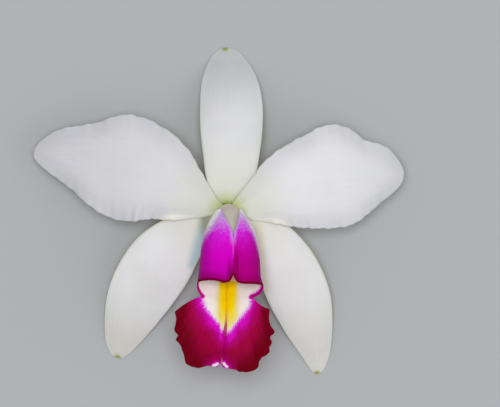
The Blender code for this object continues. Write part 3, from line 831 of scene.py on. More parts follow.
def petal_tissue(name, settings, colors, shares):
    """Fresh petal tissue: thin clear cells over air, so it is a soft white that light sinks
    into, with faint lengthwise veins, a satin skin and a grain of tiny cells.

    The colours are the body's, its painted shade's, its veins' and its back's. The shares are
    how far the painted shade on the margin, the cream rim, the heart's green core and the green
    tip show. The shade colour also gives the clouds their random tone.
    """
    body, shade, vein, back_body = colors
    margin_share, rim_share, core_share, tip_share = shares
    material, node = new_material(name)
    across, along, share, edge, tip, heart, fold, back, shaded, veined, hollow, painted_tan_shade = (
        node("ShaderNodeAttribute", output="Fac", attribute_name=field)
        for field in (
            "across", "along_mm", "share", "edge_mm", "tip_mm", "heart_mm", "fold", "back", "shade",
            "veined", "painted_shadow_mm", "painted_tan_shade_mm",
        )
    )
    place = node("ShaderNodeTexCoord", output="Object")

    # Veins run from the base to the tip and fan out with the blade: about 20 from margin
    # to margin, drawn as a noise that is long along the blade
    fan = node("ShaderNodeMath", {0: across, 1: 20.0}, operation="MULTIPLY")
    slow = node("ShaderNodeMath", {0: along, 1: 0.045}, operation="MULTIPLY")
    lines = node("ShaderNodeCombineXYZ", {0: fan, 1: slow, 2: back})
    veins = node(
        "ShaderNodeTexNoise", {"Vector": lines, "Scale": 1.0, "Detail": 3.0, "Roughness": 0.6}
    )
    # Clouds about 15 mm across, where the tissue is thicker
    clouds = node("ShaderNodeTexNoise", {"Vector": place, "Scale": 65.0, "Detail": 2.0})
    rim_most = node("ShaderNodeMapRange", {0: share, 1: 0.45, 2: 0.75, 3: rim_share, 4: 0.1})
    ragged = node("ShaderNodeMath", {0: veins, 1: 3.0, 2: heart}, operation="MULTIPLY_ADD")
    # Painted shadow beside the lip: blue-grey, turning grey-green near the heart
    painted_shadow_top = node("ShaderNodeMapRange", {0: heart, 1: 12.0, 2: 7.5, 3: 0.0, 4: 1.0})
    painted_shadow_color = lay_colors(node, settings.hollow, [(painted_shadow_top, 0.0, 1.0, 1.0, settings.painted_shadow_top)])
    color = lay_colors(
        node,
        body,
        [
            (clouds, 0.45, 0.75, 0.15, shade),
            # Painted shade, set blade by blade and growing towards the tip
            (shaded, 0.0, 1.0, 1.0, shade),
            (veins, 0.48, 0.72, veined, vein),
            # Painted shade along the margins
            (edge, 8.0, 0.5, margin_share, shade),
            (ragged, 26.0, 8.0, 0.85, settings.cream),
            # Partly the fold's real cream, partly painted light against the shade of the crease
            (fold, 0.3, 0.9, 0.9, settings.cream_and_painted_light_ridge),
            (ragged, 9.0, 4.4, 0.75, settings.heart),
            (ragged, 5.6, 4.2, core_share, settings.core),
            # Painted shadow of the lip
            (hollow, 3.3, 0.2, 0.76, painted_shadow_color),
            # Painted tan shade beside the lip
            (painted_tan_shade, 3.4, 0.4, 0.5, settings.painted_tan_shade),
            (edge, 0.7, 0.1, rim_most, settings.rim),
        ],
    )
    # Back: its own body colour down the middle, paling to the margins
    middle = node("ShaderNodeMath", {0: across}, operation="ABSOLUTE")
    back_color = lay_colors(
        node,
        back_body,
        [
            (veins, 0.4, 0.8, 0.35, settings.back_pale),
            (middle, 0.25, 0.95, 1.0, settings.back_pale),
            (ragged, 26.0, 6.0, 0.8, settings.back_green),
        ],
    )
    color = lay_colors(
        node, color, [(back, 0.3, 0.8, 1.0, back_color), (tip, 1.5, 0.4, tip_share, settings.tip)]
    )

    # Grain of cells: about 0.1 mm in life, drawn at 0.45 mm so that it shows
    cells = node("ShaderNodeTexNoise", {"Vector": place, "Scale": 2200.0, "Detail": 2.0})
    height = node("ShaderNodeMath", {0: cells, 1: 0.35, 2: veins}, operation="MULTIPLY_ADD")
    finish_skin(
        node,
        (height, 0.4, 0.0002),
        {
            "Base Color": color,
            "Roughness": 0.5,
            "IOR": 1.42,
            "Specular IOR Level": 0.4,
            "Subsurface Weight": 0.3,
            "Subsurface Radius": (1.0, 0.9, 0.75),
            "Subsurface Scale": 0.0016,
            "Sheen Weight": 0.1,
        },
    )
    return material


def lip_tissue(settings):
    """Velvety lip tissue: deep cells full of dye, so the colours are saturated, with almost no
    gloss, a feathered change from one colour to the next, and a fine speckle near the base. The
    outside of the side lobes also carries painted shade."""
    material, node = new_material("velvety lip tissue")
    (
        inner, throat, glow, median, down, pale, floor, front, outer,
        seam, fan, run, lobe, side, right, seam_shade, notch, cleft,
    ) = (
        node("ShaderNodeAttribute", output="Fac", attribute_name=field)
        for field in (
            "inner", "throat_mm", "glow_mm", "median_mm", "down_mm", "pale_mm", "floor", "front_mm",
            "outer_mm", "seam_mm", "fan", "run_mm", "lobe", "side", "right", "seam_shade", "notch_mm",
            "cleft_mm",
        )
    )
    place = node("ShaderNodeTexCoord", output="Object")

    # Streaks fan out along the lip: about 40 across the middle lobe
    fan_many = node("ShaderNodeMath", {0: fan, 1: 26.0}, operation="MULTIPLY")
    run_slow = node("ShaderNodeMath", {0: run, 1: 0.16}, operation="MULTIPLY")
    lines = node("ShaderNodeCombineXYZ", {0: fan_many, 1: run_slow, 2: inner})
    streaks = node(
        "ShaderNodeTexNoise", {"Vector": lines, "Scale": 1.0, "Detail": 3.0, "Roughness": 0.65}
    )
    # Grains 0.35 mm across, as the dye fills one cell and not the next, blotches 0.8 mm
    # across, and clouds 5 mm across
    grains, blotches, clouds = (
        node("ShaderNodeTexNoise", {"Vector": place, "Scale": scale, "Detail": 2.0})
        for scale in (2600.0, 1150.0, 190.0)
    )

    def shifted(field, noise, reach):
        """A field moved to and fro by a noise, by up to the reach."""
        shift = node("ShaderNodeMapRange", {0: noise, 1: 0.25, 2: 0.75, 3: -reach, 4: reach})
        return node("ShaderNodeMath", {0: field, 1: shift}, operation="ADD")

    # Inside: white throat, bright magenta round it, then rose, crimson and maroon outwards
    feathered = shifted(shifted(throat, streaks, 0.55), grains, 0.35)
    wavy = shifted(shifted(glow, streaks, 0.7), clouds, 0.9)
    lobe_share = node("ShaderNodeMath", {0: lobe, 1: 0.9}, operation="MULTIPLY")
    inside = lay_colors(
        node,
        settings.maroon,
        [
            (wavy, -17.0, -4.5, 1.0, settings.crimson),
            (wavy, -5.2, -2.4, 1.0, settings.rose),
            (wavy, -2.9, -0.5, 1.0, settings.bright),
            (shifted(outer, clouds, 0.8), 5.4, 0.4, lobe_share, settings.maroon),
            (feathered, -1.0, 0.2, 0.7, settings.lilac),
            (feathered, -0.6, 0.8, 1.0, settings.throat),
        ],
    )
    # Yellow band beside the line down the middle, streaked with gold, and a lemon haze
    # round it. Both fade out towards the lobe.
    off = node("ShaderNodeMath", {0: median, 1: 0.35}, operation="SUBTRACT")
    off = shifted(node("ShaderNodeMath", {0: off}, operation="ABSOLUTE"), streaks, 0.3)
    wide = shifted(node("ShaderNodeMath", {0: median}, operation="ABSOLUTE"), streaks, 0.1)
    in_white = node("ShaderNodeMapRange", {0: feathered, 1: -0.2, 2: 0.8, 3: 0.0, 4: floor})
    faint = node("ShaderNodeMath", {0: in_white, 1: 0.6}, operation="MULTIPLY")
    haze = node("ShaderNodeMapRange", {0: off, 1: 4.6, 2: 2.2, 3: 0.0, 4: faint})
    # The band narrows towards the lobe
    narrowing = node("ShaderNodeMapRange", {0: down, 1: 22.0, 2: 34.0, 3: 0.0, 4: 0.8})
    off_band = node("ShaderNodeMath", {0: off, 1: narrowing}, operation="ADD")
    band = node("ShaderNodeMapRange", {0: down, 1: 34.0, 2: 28.8, 3: 0.0, 4: in_white})
    half_band = node("ShaderNodeMath", {0: band, 1: 0.45}, operation="MULTIPLY")
    gold_most = node("ShaderNodeMapRange", {0: off_band, 1: 2.2, 2: 1.2, 3: 0.0, 4: half_band})
    gold_line = node("ShaderNodeMath", {0: band, 1: 0.6}, operation="MULTIPLY")
    lemon_most = node("ShaderNodeMapRange", {0: down, 1: 35.0, 2: 31.0, 3: 0.25, 4: 1.0})
    lemon_most = node("ShaderNodeMath", {0: lemon_most, 1: in_white}, operation="MULTIPLY")
    # The red line widens in a wedge below the band, and fades out towards the notch
    red_line = node("ShaderNodeMapRange", {0: down, 1: 28.0, 2: 33.5, 3: 0.0, 4: 0.9})
    fading = node("ShaderNodeMapRange", {0: down, 1: 41.0, 2: 36.5, 3: 0.35, 4: 1.0})
    red_line = node("ShaderNodeMath", {0: red_line, 1: fading}, operation="MULTIPLY")
    wedge = node("ShaderNodeMapRange", {0: down, 1: 31.5, 2: 36.0, 3: 0.0, 4: -0.45})
    wedge = node("ShaderNodeMath", {0: wide, 1: wedge}, operation="ADD")
    inside = lay_colors(
        node,
        inside,
        [
            (down, 20.0, 25.5, haze, settings.lemon),
            (off, 4.0, 1.9, lemon_most, settings.lemon),
            (off_band, 3.15, 1.9, band, settings.yellow),
            (streaks, 0.48, 0.7, gold_most, settings.gold),
            (wide, 0.4, 0.1, gold_line, settings.gold),
            (wedge, 0.36, 0.1, red_line, settings.rose),
            (shifted(notch, streaks, 0.6), 4.0, 1.2, 0.6, settings.rose),
            (shifted(notch, grains, 0.3), 1.3, 0.5, 0.8, settings.bright),
            (shifted(notch, grains, 0.25), 0.55, 0.2, 0.95, settings.throat),
            (cleft, 0.4, 0.1, 0.6, settings.split),
        ],
    )
    # The tube's side margins have a magenta band
    tube_rim = node("ShaderNodeMapRange", {0: lobe, 1: 0.4, 2: 0.0, 3: 0.0, 4: 0.95})
    inside = lay_colors(node, inside, [(front, 1.2, 0.8, tube_rim, settings.bright)])

    # Outside: speckled lilac at the base, then magenta, and almost white underneath. Painted shade
    # lies over it: wine towards the fronts, lower down and in strips beside the seam, rose on the
    # right lobe and plum at the sides.
    spotted = shifted(shifted(down, blotches, 1.6), clouds, 0.7)
    dye = shifted(shifted(pale, blotches, 0.5), clouds, 0.4)
    # Painted shade on the right lobe, growing down the bloom
    right_shade_most = node("ShaderNodeMapRange", {0: down, 1: 5.0, 2: 15.0, 3: 0.0, 4: 0.65})
    margin_most = node("ShaderNodeMapRange", {0: down, 1: 10.0, 2: 6.5, 3: 0.0, 4: 0.75})
    seam_most = node("ShaderNodeMapRange", {0: down, 1: 14.0, 2: 7.0, 3: 0.0, 4: 0.45})
    outside = lay_colors(
        node,
        settings.lilac,
        [
            (spotted, 0.2, 7.0, 1.0, settings.orchid),
            (spotted, 5.5, 12.5, 1.0, settings.magenta),
            # Painted shade lower down the tube
            (down, 11.0, 20.0, 0.35, settings.painted_wine_shade),
            # Painted shade on the right lobe
            (right, 0.0, 1.0, right_shade_most, settings.rose),
            # Painted shade at the side lobes' sides
            (side, 0.45, 1.05, 0.55, settings.plum),
            # Painted shade in the furrow beside the seam
            (seam_shade, 0.0, 1.0, 0.65, settings.painted_wine_shade),
            (dye, 3.2, 0.6, 0.6, settings.lilac),
            (dye, 1.6, -1.2, 1.0, settings.pale),
            # Painted shade towards the side lobes' fronts
            (front, 3.8, 0.6, 0.55, settings.painted_wine_shade),
            (seam, 0.8, 0.1, margin_most, settings.lilac),
            (seam, 0.04, 0.0, seam_most, settings.lilac),
        ],
    )
    # Under the middle lobe: purple with a pale stripe down the middle
    under = lay_colors(node, settings.plum, [(wide, 3.0, 0.6, 0.7, settings.pale)])
    color = lay_colors(node, outside, [(lobe, 0.0, 1.0, 1.0, under), (inner, 0.35, 0.75, 1.0, inside)])
    # A dark line along the side lobes' fronts, which turns magenta down the tube's sides
    rim_most = node("ShaderNodeMapRange", {0: lobe, 1: 0.3, 2: 0.0, 3: 0.0, 4: 0.85})
    rim = lay_colors(node, settings.maroon, [(seam, 10.0, 13.5, 1.0, settings.rose)])
    color = lay_colors(node, color, [(shifted(front, grains, 0.1), 0.75, 0.4, rim_most, rim)])

    height = node("ShaderNodeMath", {0: grains, 1: 0.3, 2: streaks}, operation="MULTIPLY_ADD")
    finish_skin(
        node,
        (height, 0.5, 0.0002),
        {
            "Base Color": color,
            "Roughness": 0.55,
            "IOR": 1.42,
            "Specular IOR Level": 0.04,
            "Subsurface Weight": 0.1,
            "Subsurface Radius": (1.0, 0.5, 0.6),
            "Subsurface Scale": 0.0006,
        },
    )
    return material


def fleshy_tissue(name, body, side, flush, flushed):
    """Firm waxy flesh, as of a column: smooth, a little see-through, with a soft gloss, sides
    painted paler as painted light against the shade they lie in, and a flush of dye, which
    appears between the two flushed distances along it."""
    material, node = new_material(name)
    along = node("ShaderNodeAttribute", output="Fac", attribute_name="along_mm")
    painted_light_flank = node("ShaderNodeAttribute", output="Fac", attribute_name="painted_light_flank")
    place = node("ShaderNodeTexCoord", output="Object")
    # Clouds about 1 mm across, as dye and cells are uneven in the flesh
    clouds = node("ShaderNodeTexNoise", {"Vector": place, "Scale": 900.0, "Detail": 3.0})
    shift = node("ShaderNodeMapRange", {0: clouds, 1: 0.3, 2: 0.7, 3: -2.0, 4: 2.0})
    shift = node("ShaderNodeMath", {0: along, 1: shift}, operation="ADD")
    # Painted light on the sides and foot
    color = lay_colors(node, body, [(painted_light_flank, 0.0, 1.0, 0.85, side), (shift, *flushed, 0.8, flush)])
    finish_skin(
        node,
        (clouds, 0.3, 0.0001),
        {
            "Base Color": color,
            "Roughness": 0.38,
            "IOR": 1.42,
            "Subsurface Weight": 0.25,
            "Subsurface Radius": (1.0, 0.8, 0.7),
            "Subsurface Scale": 0.001,
        },
    )
    return material


def waxy_pollen(settings):
    """Pollen masses: hard wax, yellow, with a fine grain."""
    material, node = new_material("waxy pollen")
    place = node("ShaderNodeTexCoord", output="Object")
    # Pollen grains are about 0.03 mm, drawn at 0.2 mm so that they show
    grain = node("ShaderNodeTexNoise", {"Vector": place, "Scale": 5000.0, "Detail": 2.0})
    dark = (*(POLLEN_DARK * c for c in settings.pollen[:3]), 1.0)
    color = node("ShaderNodeMix", {0: grain, 6: settings.pollen, 7: dark}, output=2, data_type="RGBA")
    finish_skin(node, (grain, 0.3, 0.00006), {"Base Color": color, "Roughness": 0.35})
    return material


def green_stalk(settings):
    """Living stalk: smooth green skin with darker furrows, paler ribs and fine speckles, and
    drying fibres on the cut end."""
    material, node = new_material("green stalk")
    rib = node("ShaderNodeAttribute", output="Fac", attribute_name="rib")
    along = node("ShaderNodeAttribute", output="Fac", attribute_name="along_mm")
    cut = node("ShaderNodeAttribute", output="Fac", attribute_name="cut")
    place = node("ShaderNodeTexCoord", output="Object")
    turns = node("ShaderNodeAttribute", output="Fac", attribute_name="turn")
    # Fibres run along the stalk, 40 round it and about 4 mm long. Speckles are 0.5 mm across.
    many = node("ShaderNodeMath", {0: turns, 1: 40.0}, operation="MULTIPLY")
    slow = node("ShaderNodeMath", {0: along, 1: 0.25}, operation="MULTIPLY")
    lines = node("ShaderNodeCombineXYZ", {0: many, 1: slow, 2: 0.0})
    fibres = node("ShaderNodeTexNoise", {"Vector": lines, "Scale": 1.0, "Detail": 3.0})
    speckles = node("ShaderNodeTexNoise", {"Vector": place, "Scale": 1900.0, "Detail": 2.0})
    rib_share = node("ShaderNodeMath", {0: fibres, 1: 0.5, 2: rib}, operation="MULTIPLY_ADD")
    color = node(
        "ShaderNodeValToRGB",
        {0: rib_share},
        stops=[(0.2, settings.furrow), (0.65, settings.green), (1.0, settings.pale)],
    )
    speck = node("ShaderNodeMapRange", {0: speckles, 1: 0.6, 2: 0.7, 3: 0.0, 4: 0.35})
    color = node("ShaderNodeMix", {0: speck, 6: color, 7: settings.furrow}, output=2, data_type="RGBA")
    cut_color = node(
        "ShaderNodeValToRGB",
        {0: speckles},
        stops=[(0.35, settings.furrow), (0.5, settings.cut)],
    )
    color = node("ShaderNodeMix", {0: cut, 6: color, 7: cut_color}, output=2, data_type="RGBA")
    height = node("ShaderNodeMath", {0: speckles, 1: 0.3, 2: fibres}, operation="MULTIPLY_ADD")
    finish_skin(
        node,
        (height, 0.4, 0.0002),
        {
            "Base Color": color,
            "Roughness": 0.42,
            "IOR": 1.42,
            "Subsurface Weight": 0.12,
            "Subsurface Radius": (0.7, 1.0, 0.3),
            "Subsurface Scale": 0.0008,
        },
    )
    return material


def blade_surface(blade, crimp):
    """Sepal or petal as an open surface: share of the length s by row, across from 1 at the
    left margin to -1 at the right one by column.

    Half-width is its smooth table times the root of 1 - s^4, so the tip is round, and on a
    petal the crimps scallop it. Height is the midrib's, less the droop times across squared,
    plus the margins' waves and crimps, and on a petal plus its pleats and the fold near its
    base, less the rolls beside it. Gives the points, quads and fields.
    """
    places = np.array(blade["midrib"])
    run = np.concatenate([[0.0], np.cumsum(np.hypot(*np.diff(places, axis=0).T))])
    length = run[-1]
    xs, ys = (np.column_stack([run / length, places[:, k]]) for k in (0, 1))
    stations = np.array(blade["stations"])
    left, right, level, droop = (stations[:, [0, k]] for k in (1, 2, 3, 4))
    row = np.linspace(0, 1, BLADE_ROWS + 1)[:, None]
    across = np.linspace(1, -1, BLADE_COLUMNS + 1)[None, :]
    start = HEART_RADIUS / length
    s = start + (TIP_SHARE - start) * (1 - (1 - row) ** ROW_CLOSING)
    way = [smooth(line, s + WAY_STEP) - smooth(line, s - WAY_STEP) for line in (xs, ys)]
    way = unit(np.concatenate(way, axis=1))
    half = by_side(-across, left, right, s) * np.sqrt(1 - s**4)
    amplitude, count, phase = blade["waves"]
    turns = count * s + phase + WAVE_LEAN * across
    wave = amplitude * np.abs(across) ** 3 * np.sin(2 * np.pi * turns)
    # Small crimps of uneven height, about 4 mm apart
    crimps = np.prod([np.sin(fast * count * s + aside * across) for fast, aside in CRIMPS], axis=0)
    growth = ease(s / WAVE_GROWTH) * ease((1 - s) / WAVE_END)
    wave = (wave + crimp * across**6 * crimps) * growth
    half = half + blade.get("scallop", 0.0) * crimps * growth
    toward_lip = across * blade.get("lip_side", 0)
    folded = bump(s - FOLD_PLACE, FOLD_SPREAD)
    fold = folded * bump(toward_lip - FOLD_ACROSS, FOLD_WIDTH)
    far_rolled = bump(s - FAR_ROLL_PLACE, FAR_ROLL_SPREAD) * past(-toward_lip, FAR_ROLL_ACROSS)
    rolled = folded * past(toward_lip, FOLD_ACROSS) + FAR_ROLL * far_rolled
    middle, spread, number, depth = blade.get("pleats", NO_PLEATS)
    pleats = depth * bump(s - middle, spread) * past(toward_lip, PLEAT_ACROSS)
    wave = wave + FOLD_HEIGHT * fold - ROLL_DEPTH * rolled + pleats * np.sin(2 * np.pi * number * s)
    height = smooth(level, s) - smooth(droop, s) * across**2 + wave
    x = smooth(xs, s) - way[:, 1:2] * half * across
    y = smooth(ys, s) + way[:, 0:1] * half * across
    points = np.stack([x, y, height], axis=-1)
    base_shade, tip_shade = blade["shade"]
    tip_veins = blade.get("veins", TIP_VEINS)
    fields = {
        "across": across,
        "along_mm": s * length,
        "share": s,
        "edge_mm": (1 - np.abs(across)) * half,
        "tip_mm": np.hypot(length - s * length, across * half),
        "heart_mm": np.hypot(x, y),
        # Share of the fold's cream, brightened as painted light
        "fold": folded * ease((toward_lip - RIDGE_ACROSS) / RIDGE_WIDTH),
        # Painted shade: how far the colour turns to the shade colour, set blade by blade
        "shade": base_shade + (tip_shade - base_shade) * ease(2 * s - 1),
        "veined": BASE_VEINS + (tip_veins - BASE_VEINS) * ease((s - VEINS_PLACE) / VEINS_GROWTH),
        "painted_shadow_mm": away_from(blade.get("hollow", FAR_STROKE), points[..., :2]),
        "painted_tan_shade_mm": away_from(blade.get("painted_tan_shade", FAR_STROKE), points[..., :2]),
    }
    fields = {key: np.broadcast_to(field, x.shape).ravel() for key, field in fields.items()}
    return points.reshape(-1, 3), grid_quads(np.arange(x.size).reshape(x.shape)), fields


def make_blade(name, node, blade, material, sizes):
    """A sepal or petal: full thickness at the midrib, thin towards the margins, with a shallow
    groove along the front and a low keel along the back of the midrib. The sizes are the
    thickness at the midrib and at the margins and the height of the crimps, in metres."""
    wall, margin, crimp = (size / MM for size in sizes)
    points, quads, fields = blade_surface(blade, crimp)
    across, edge, share = fields["across"], fields["edge_mm"], fields["share"]
    # Distance from the midrib, but 0 on the margin itself, where the keel's height thickens
    # the rim
    aside = across / np.maximum(1 - np.abs(across), 1e-6) * edge
    thick = margin + (wall - margin) * ease(edge / THINNING)
    fade = ease((MIDRIB_END - share) / MIDRIB_FADE)
    front = thick / 2 - bump(aside, *MIDRIB_GROOVE) * fade
    back = thick / 2 + bump(aside, *MIDRIB_KEEL) * fade
    points, faces, sources, sides = shell(points, quads, front, back)
    values = {key: field[sources] for key, field in fields.items()}
    values["back"] = (1 - sides) / 2
    make_piece(name, points, faces, material, node, values)


class BLOOM_OT_sepals(bpy.types.Operator):
    """Adds the three sepals"""

    bl_idname = "bloom.sepals"
    bl_label = "Sepals"

    def execute(self, context):
        look = context.scene.bloom_blades
        # The dorsal and lateral sepal tissues differ only in the colour of their painted shade
        upper, lateral = (
            petal_tissue(
                name, look, (look.sepal_white, shade, look.sepal_vein, look.back_green), SEPAL_SHARES
            )
            for name, shade in (
                ("fresh dorsal sepal tissue", look.sepal_shade),
                ("fresh lateral sepal tissue", look.lateral_shade),
            )
        )
        sizes = (look.sepal_wall, look.margin, 0.0)
        for name, node, blade, tissue in (
            ("dorsal_sepal", "sepal_dorsal", SEPAL_DORSAL, upper),
            ("left_lateral_sepal", "sepal_lateral_left", SEPAL_LATERAL_LEFT, lateral),
            ("right_lateral_sepal", "sepal_lateral_right", SEPAL_LATERAL_RIGHT, lateral),
        ):
            make_blade(name, node, blade, tissue, sizes)
        return {"FINISHED"}


class BLOOM_OT_petals(bpy.types.Operator):
    """Adds the two petals"""

    bl_idname = "bloom.petals"
    bl_label = "Petals"

    def execute(self, context):
        look = context.scene.bloom_blades
        colors = (look.petal_white, look.petal_shade, look.petal_vein, look.petal_shade)
        tissue = petal_tissue("fresh petal tissue", look, colors, PETAL_SHARES)
        sizes = (look.petal_wall, look.margin, look.crimp)
        for name, node, blade in (
            ("broad_left_petal", "petal_left", PETAL_LEFT),
            ("broad_right_petal", "petal_right", PETAL_RIGHT),
        ):
            make_blade(name, node, blade, tissue, sizes)
        return {"FINISHED"}


def tube_points(turn, reach):
    """Places on the lip's tube, turn half-turns round from its floor (left is negative).

    The section is a squarish oval: sideways the half-width times sin^p, and up from the
    floor half the height times 1 - cos^p, with p = 2 / squareness. The top drifts to the
    right, and dips into a furrow where the side lobes meet.
    """
    side = np.where(turn < 0, -1.0, 1.0)
    angle = np.pi * np.abs(turn)
    power = 2.0 / TUBE_SQUARENESS
    height = smooth(TUBE_HEIGHT, reach)
    cosine = np.cos(angle)
    rise = height / 2 * (1 - np.sign(cosine) * np.abs(cosine) ** power)
    x = side * by_side(turn, TUBE_LEFT, TUBE_RIGHT, reach) * np.abs(np.sin(angle)) ** power
    drift = ease(reach / DRIFT_REACH)
    x = x + drift * TUBE_DRIFT + (SEAM_DRIFT_START + drift * SEAM_DRIFT) * (rise / height) ** 2
    rise = rise - SEAM_FURROW * drift * bump(1 - np.abs(turn), FURROW_HALF_TURNS)
    x, reach, rise = (distance[..., None] for distance in (x, reach, rise))
    return TUBE_START + x * SIDE_DIR + reach * REACH_DIR + rise * RISE_DIR


def lobe_points(across, out):
    """Places on the middle lobe: cubic curves from the tube's floor, at out 0, fanned out to
    the lobe's outline, at out 1. Across is -1 at the left sinus and 1 at the right one, where
    the lobe's side runs from the sinus to its corner in a line that bows a little."""
    sinus = np.where(across < 0, SINUS_LEFT, SINUS_RIGHT)
    start = tube_points(across * sinus, np.full_like(across, SINUS_REACH))
    fan = np.radians(LOBE_START_FAN * across)[..., None]
    start_way = LOBE_START_PULL * (REACH_DIR * np.cos(fan) + SIDE_DIR * np.sin(fan))
    degrees = LOBE_HALF_SWEEP * across + LOBE_SWEEP_SHIFT * across**2
    degrees = degrees + LOBE_NOTCH_ANGLE * (1 - across**2)
    angle = np.radians(degrees)
    # The margin's frays and ruffles fade out at the lobe's sides
    fading = 1 - across**4
    radius = smooth(LOBE_OUTLINE, degrees)
    radius = radius - LOBE_NOTCH_DEPTH * bump(degrees - LOBE_NOTCH_ANGLE, LOBE_NOTCH_SPREAD)
    fray = sum(np.abs(np.sin(count * angle + phase)) for count, phase in LOBE_FRAYS)
    radius = radius + LOBE_FRAY * (fray - 1) * fading
    height = LOBE_FRONT_HEIGHT + (LOBE_SIDE_HEIGHT - LOBE_FRONT_HEIGHT) * np.sin(angle) ** 2
    for tall, count, phase in LOBE_RUFFLES:
        height = height + tall * np.sin(count * angle + phase) * fading
    out_way = np.stack([np.sin(angle), -np.cos(angle), 0 * angle], axis=-1)
    end = np.stack([LOBE_CENTRE[0] + 0 * angle, LOBE_CENTRE[1] + 0 * angle, height], axis=-1)
    end = end + radius[..., None] * out_way
    end_way = LOBE_END_PULL * (out_way + np.array([0.0, 0.0, -LOBE_END_FALL]))
    # Towards the sides the curves turn straight
    straight = (across**8)[..., None]
    start_way = start_way + straight * (end - start - start_way)
    end_way = end_way + straight * (end - start - end_way)
    points = cubic(out[..., None], start, start_way, end, end_way)
    bow = np.where(across < 0, LOBE_BOW_LEFT, LOBE_BOW_RIGHT) * across**8
    points[..., 1] += bow * 4 * out * (1 - out)
    return points


def away_from(stroke, places):
    """Distance in plan of each place from a straight stroke between two places."""
    start, end = np.array(stroke)
    span = end - start
    along = np.clip((places - start) @ span / (span @ span), 0.0, 1.0)
    return np.linalg.norm(places - start - along[..., None] * span, axis=-1)


def throat_depth(x, down):
    """Distance in plan of each place from the throat's outline, positive inside it."""
    depth = np.linspace(THROAT_LEFT[0][0], THROAT_RIGHT[-1][0], THROAT_STEPS)
    middle = smooth(MEDIAN_LINE, depth)
    left, right = middle - smooth(THROAT_LEFT, depth), middle + smooth(THROAT_RIGHT, depth)
    away = [
        np.hypot(x[:, None] - side[None, :], down[:, None] - depth[None, :]).min(axis=1)
        for side in (left, right)
    ]
    inside = (x > np.interp(down, depth, left)) & (x < np.interp(down, depth, right))
    return np.minimum(*away) * np.where(inside, 1, -1)


def throat_glow(median, down):
    """How much further out the bright magenta lies, in a tongue ahead of the throat and in a
    spot on each side of it, by distance from the lip's middle line and down the bloom."""
    more, place, spread, start, growth = GLOW_TONGUE
    tongue = more * bump(median - place, spread) * ease((down - start) / growth)
    more, place, apart, spread, ahead, length = GLOW_SPOTS
    return tongue + more * bump(np.abs(median - place) - apart, spread) * bump(down - ahead, length)


def lip_fields(points, fan, tube, lobe):
    """What the lip's material reads at each point.

    The fan is each column's place from side to side, -1 and 1 at the two sinuses. Tube is
    the half-turns, the reach, the front margin's reach and the sinus on the tube's grid. Lobe
    is the places across and out on the middle lobe's grid, which starts at the tube's end.
    """
    turn, reach, front, sinus = tube
    across, out = lobe

    def joined(on_tube, on_lobe):
        """The tube's values and then the lobe's, without its first row, which is the tube's."""
        return np.concatenate([(on_tube + 0 * turn).ravel(), (on_lobe + 0 * out)[1:].ravel()])

    def seam_shade(place, spread, start, growth):
        """Bell curve of the distance from the seam, times a soft step down the bloom."""
        return bump(seam - place, spread) * ease((down - start) / growth)

    around = np.abs(turn)
    aside = np.maximum(sinus - around, 0.0) * HALF_TURN_MM
    lobe_front = (1 - out) * LOBE_OUT_MM
    lobe_side = (1 - np.abs(across)) * (LOBE_HALF_WIDTH + LOBE_WIDENING * out)
    more, start, growth = MAROON_SIDES
    outer = lobe_front - more * ease((np.abs(across) - start) / growth)
    seam = joined((1 - around) * HALF_TURN_MM, FAR_MM)
    right = joined(ease(turn / RIGHT_START), 0.0)
    places = points[:, :2]
    x, down = places[:, 0], -places[:, 1]
    median = x - smooth(MEDIAN_LINE, down)
    throat = throat_depth(x, down)
    run = joined(reach, SINUS_REACH + LOBE_RUN_MM * out)
    from_seam = x - SEAM_X
    pale = down + by_side(from_seam, PALE_LEFT, PALE_RIGHT, np.abs(from_seam))
    under = run - PALE_UNDER + joined(FAR_MM * ease((around - UNDER_TURN) / UNDER_FADE), 0.0)
    floor = ease((FLOOR_TURN - around) / FLOOR_FADE) * ease((reach - FLOOR_START) / FLOOR_GROWTH)
    above_cleft = np.maximum(-CLEFT_STROKE[1][1] - down, 0.0)
    return {
        "fan": joined(fan[None, :], across),
        "run_mm": run,
        "front_mm": joined(np.hypot(front - reach, aside), np.minimum(lobe_front, lobe_side)),
        "outer_mm": joined(FAR_MM, outer),
        "seam_mm": seam,
        "lobe": joined(0.0, ease(out / LOBE_START)),
        "right": right,
        # Painted shade in strips beside the seam
        "seam_shade": right * seam_shade(*SEAM_SHADE_RIGHT) + (1 - right) * seam_shade(*SEAM_SHADE_LEFT),
        "median_mm": median,
        "down_mm": down,
        "throat_mm": throat,
        "glow_mm": throat + throat_glow(median, down),
        "pale_mm": np.minimum(pale, under),
        "floor": joined(floor, 1.0),
        # How far out to the side, where the plum painted shade lies
        "side": np.abs(x - SEAM_X / 2) / smooth(TUBE_LEFT, run),
        "notch_mm": np.min([away_from(stroke, places) for stroke in NOTCH_STROKES], axis=0),
        "cleft_mm": away_from(CLEFT_STROKE, places) + CLEFT_THINNING * above_cleft,
    }


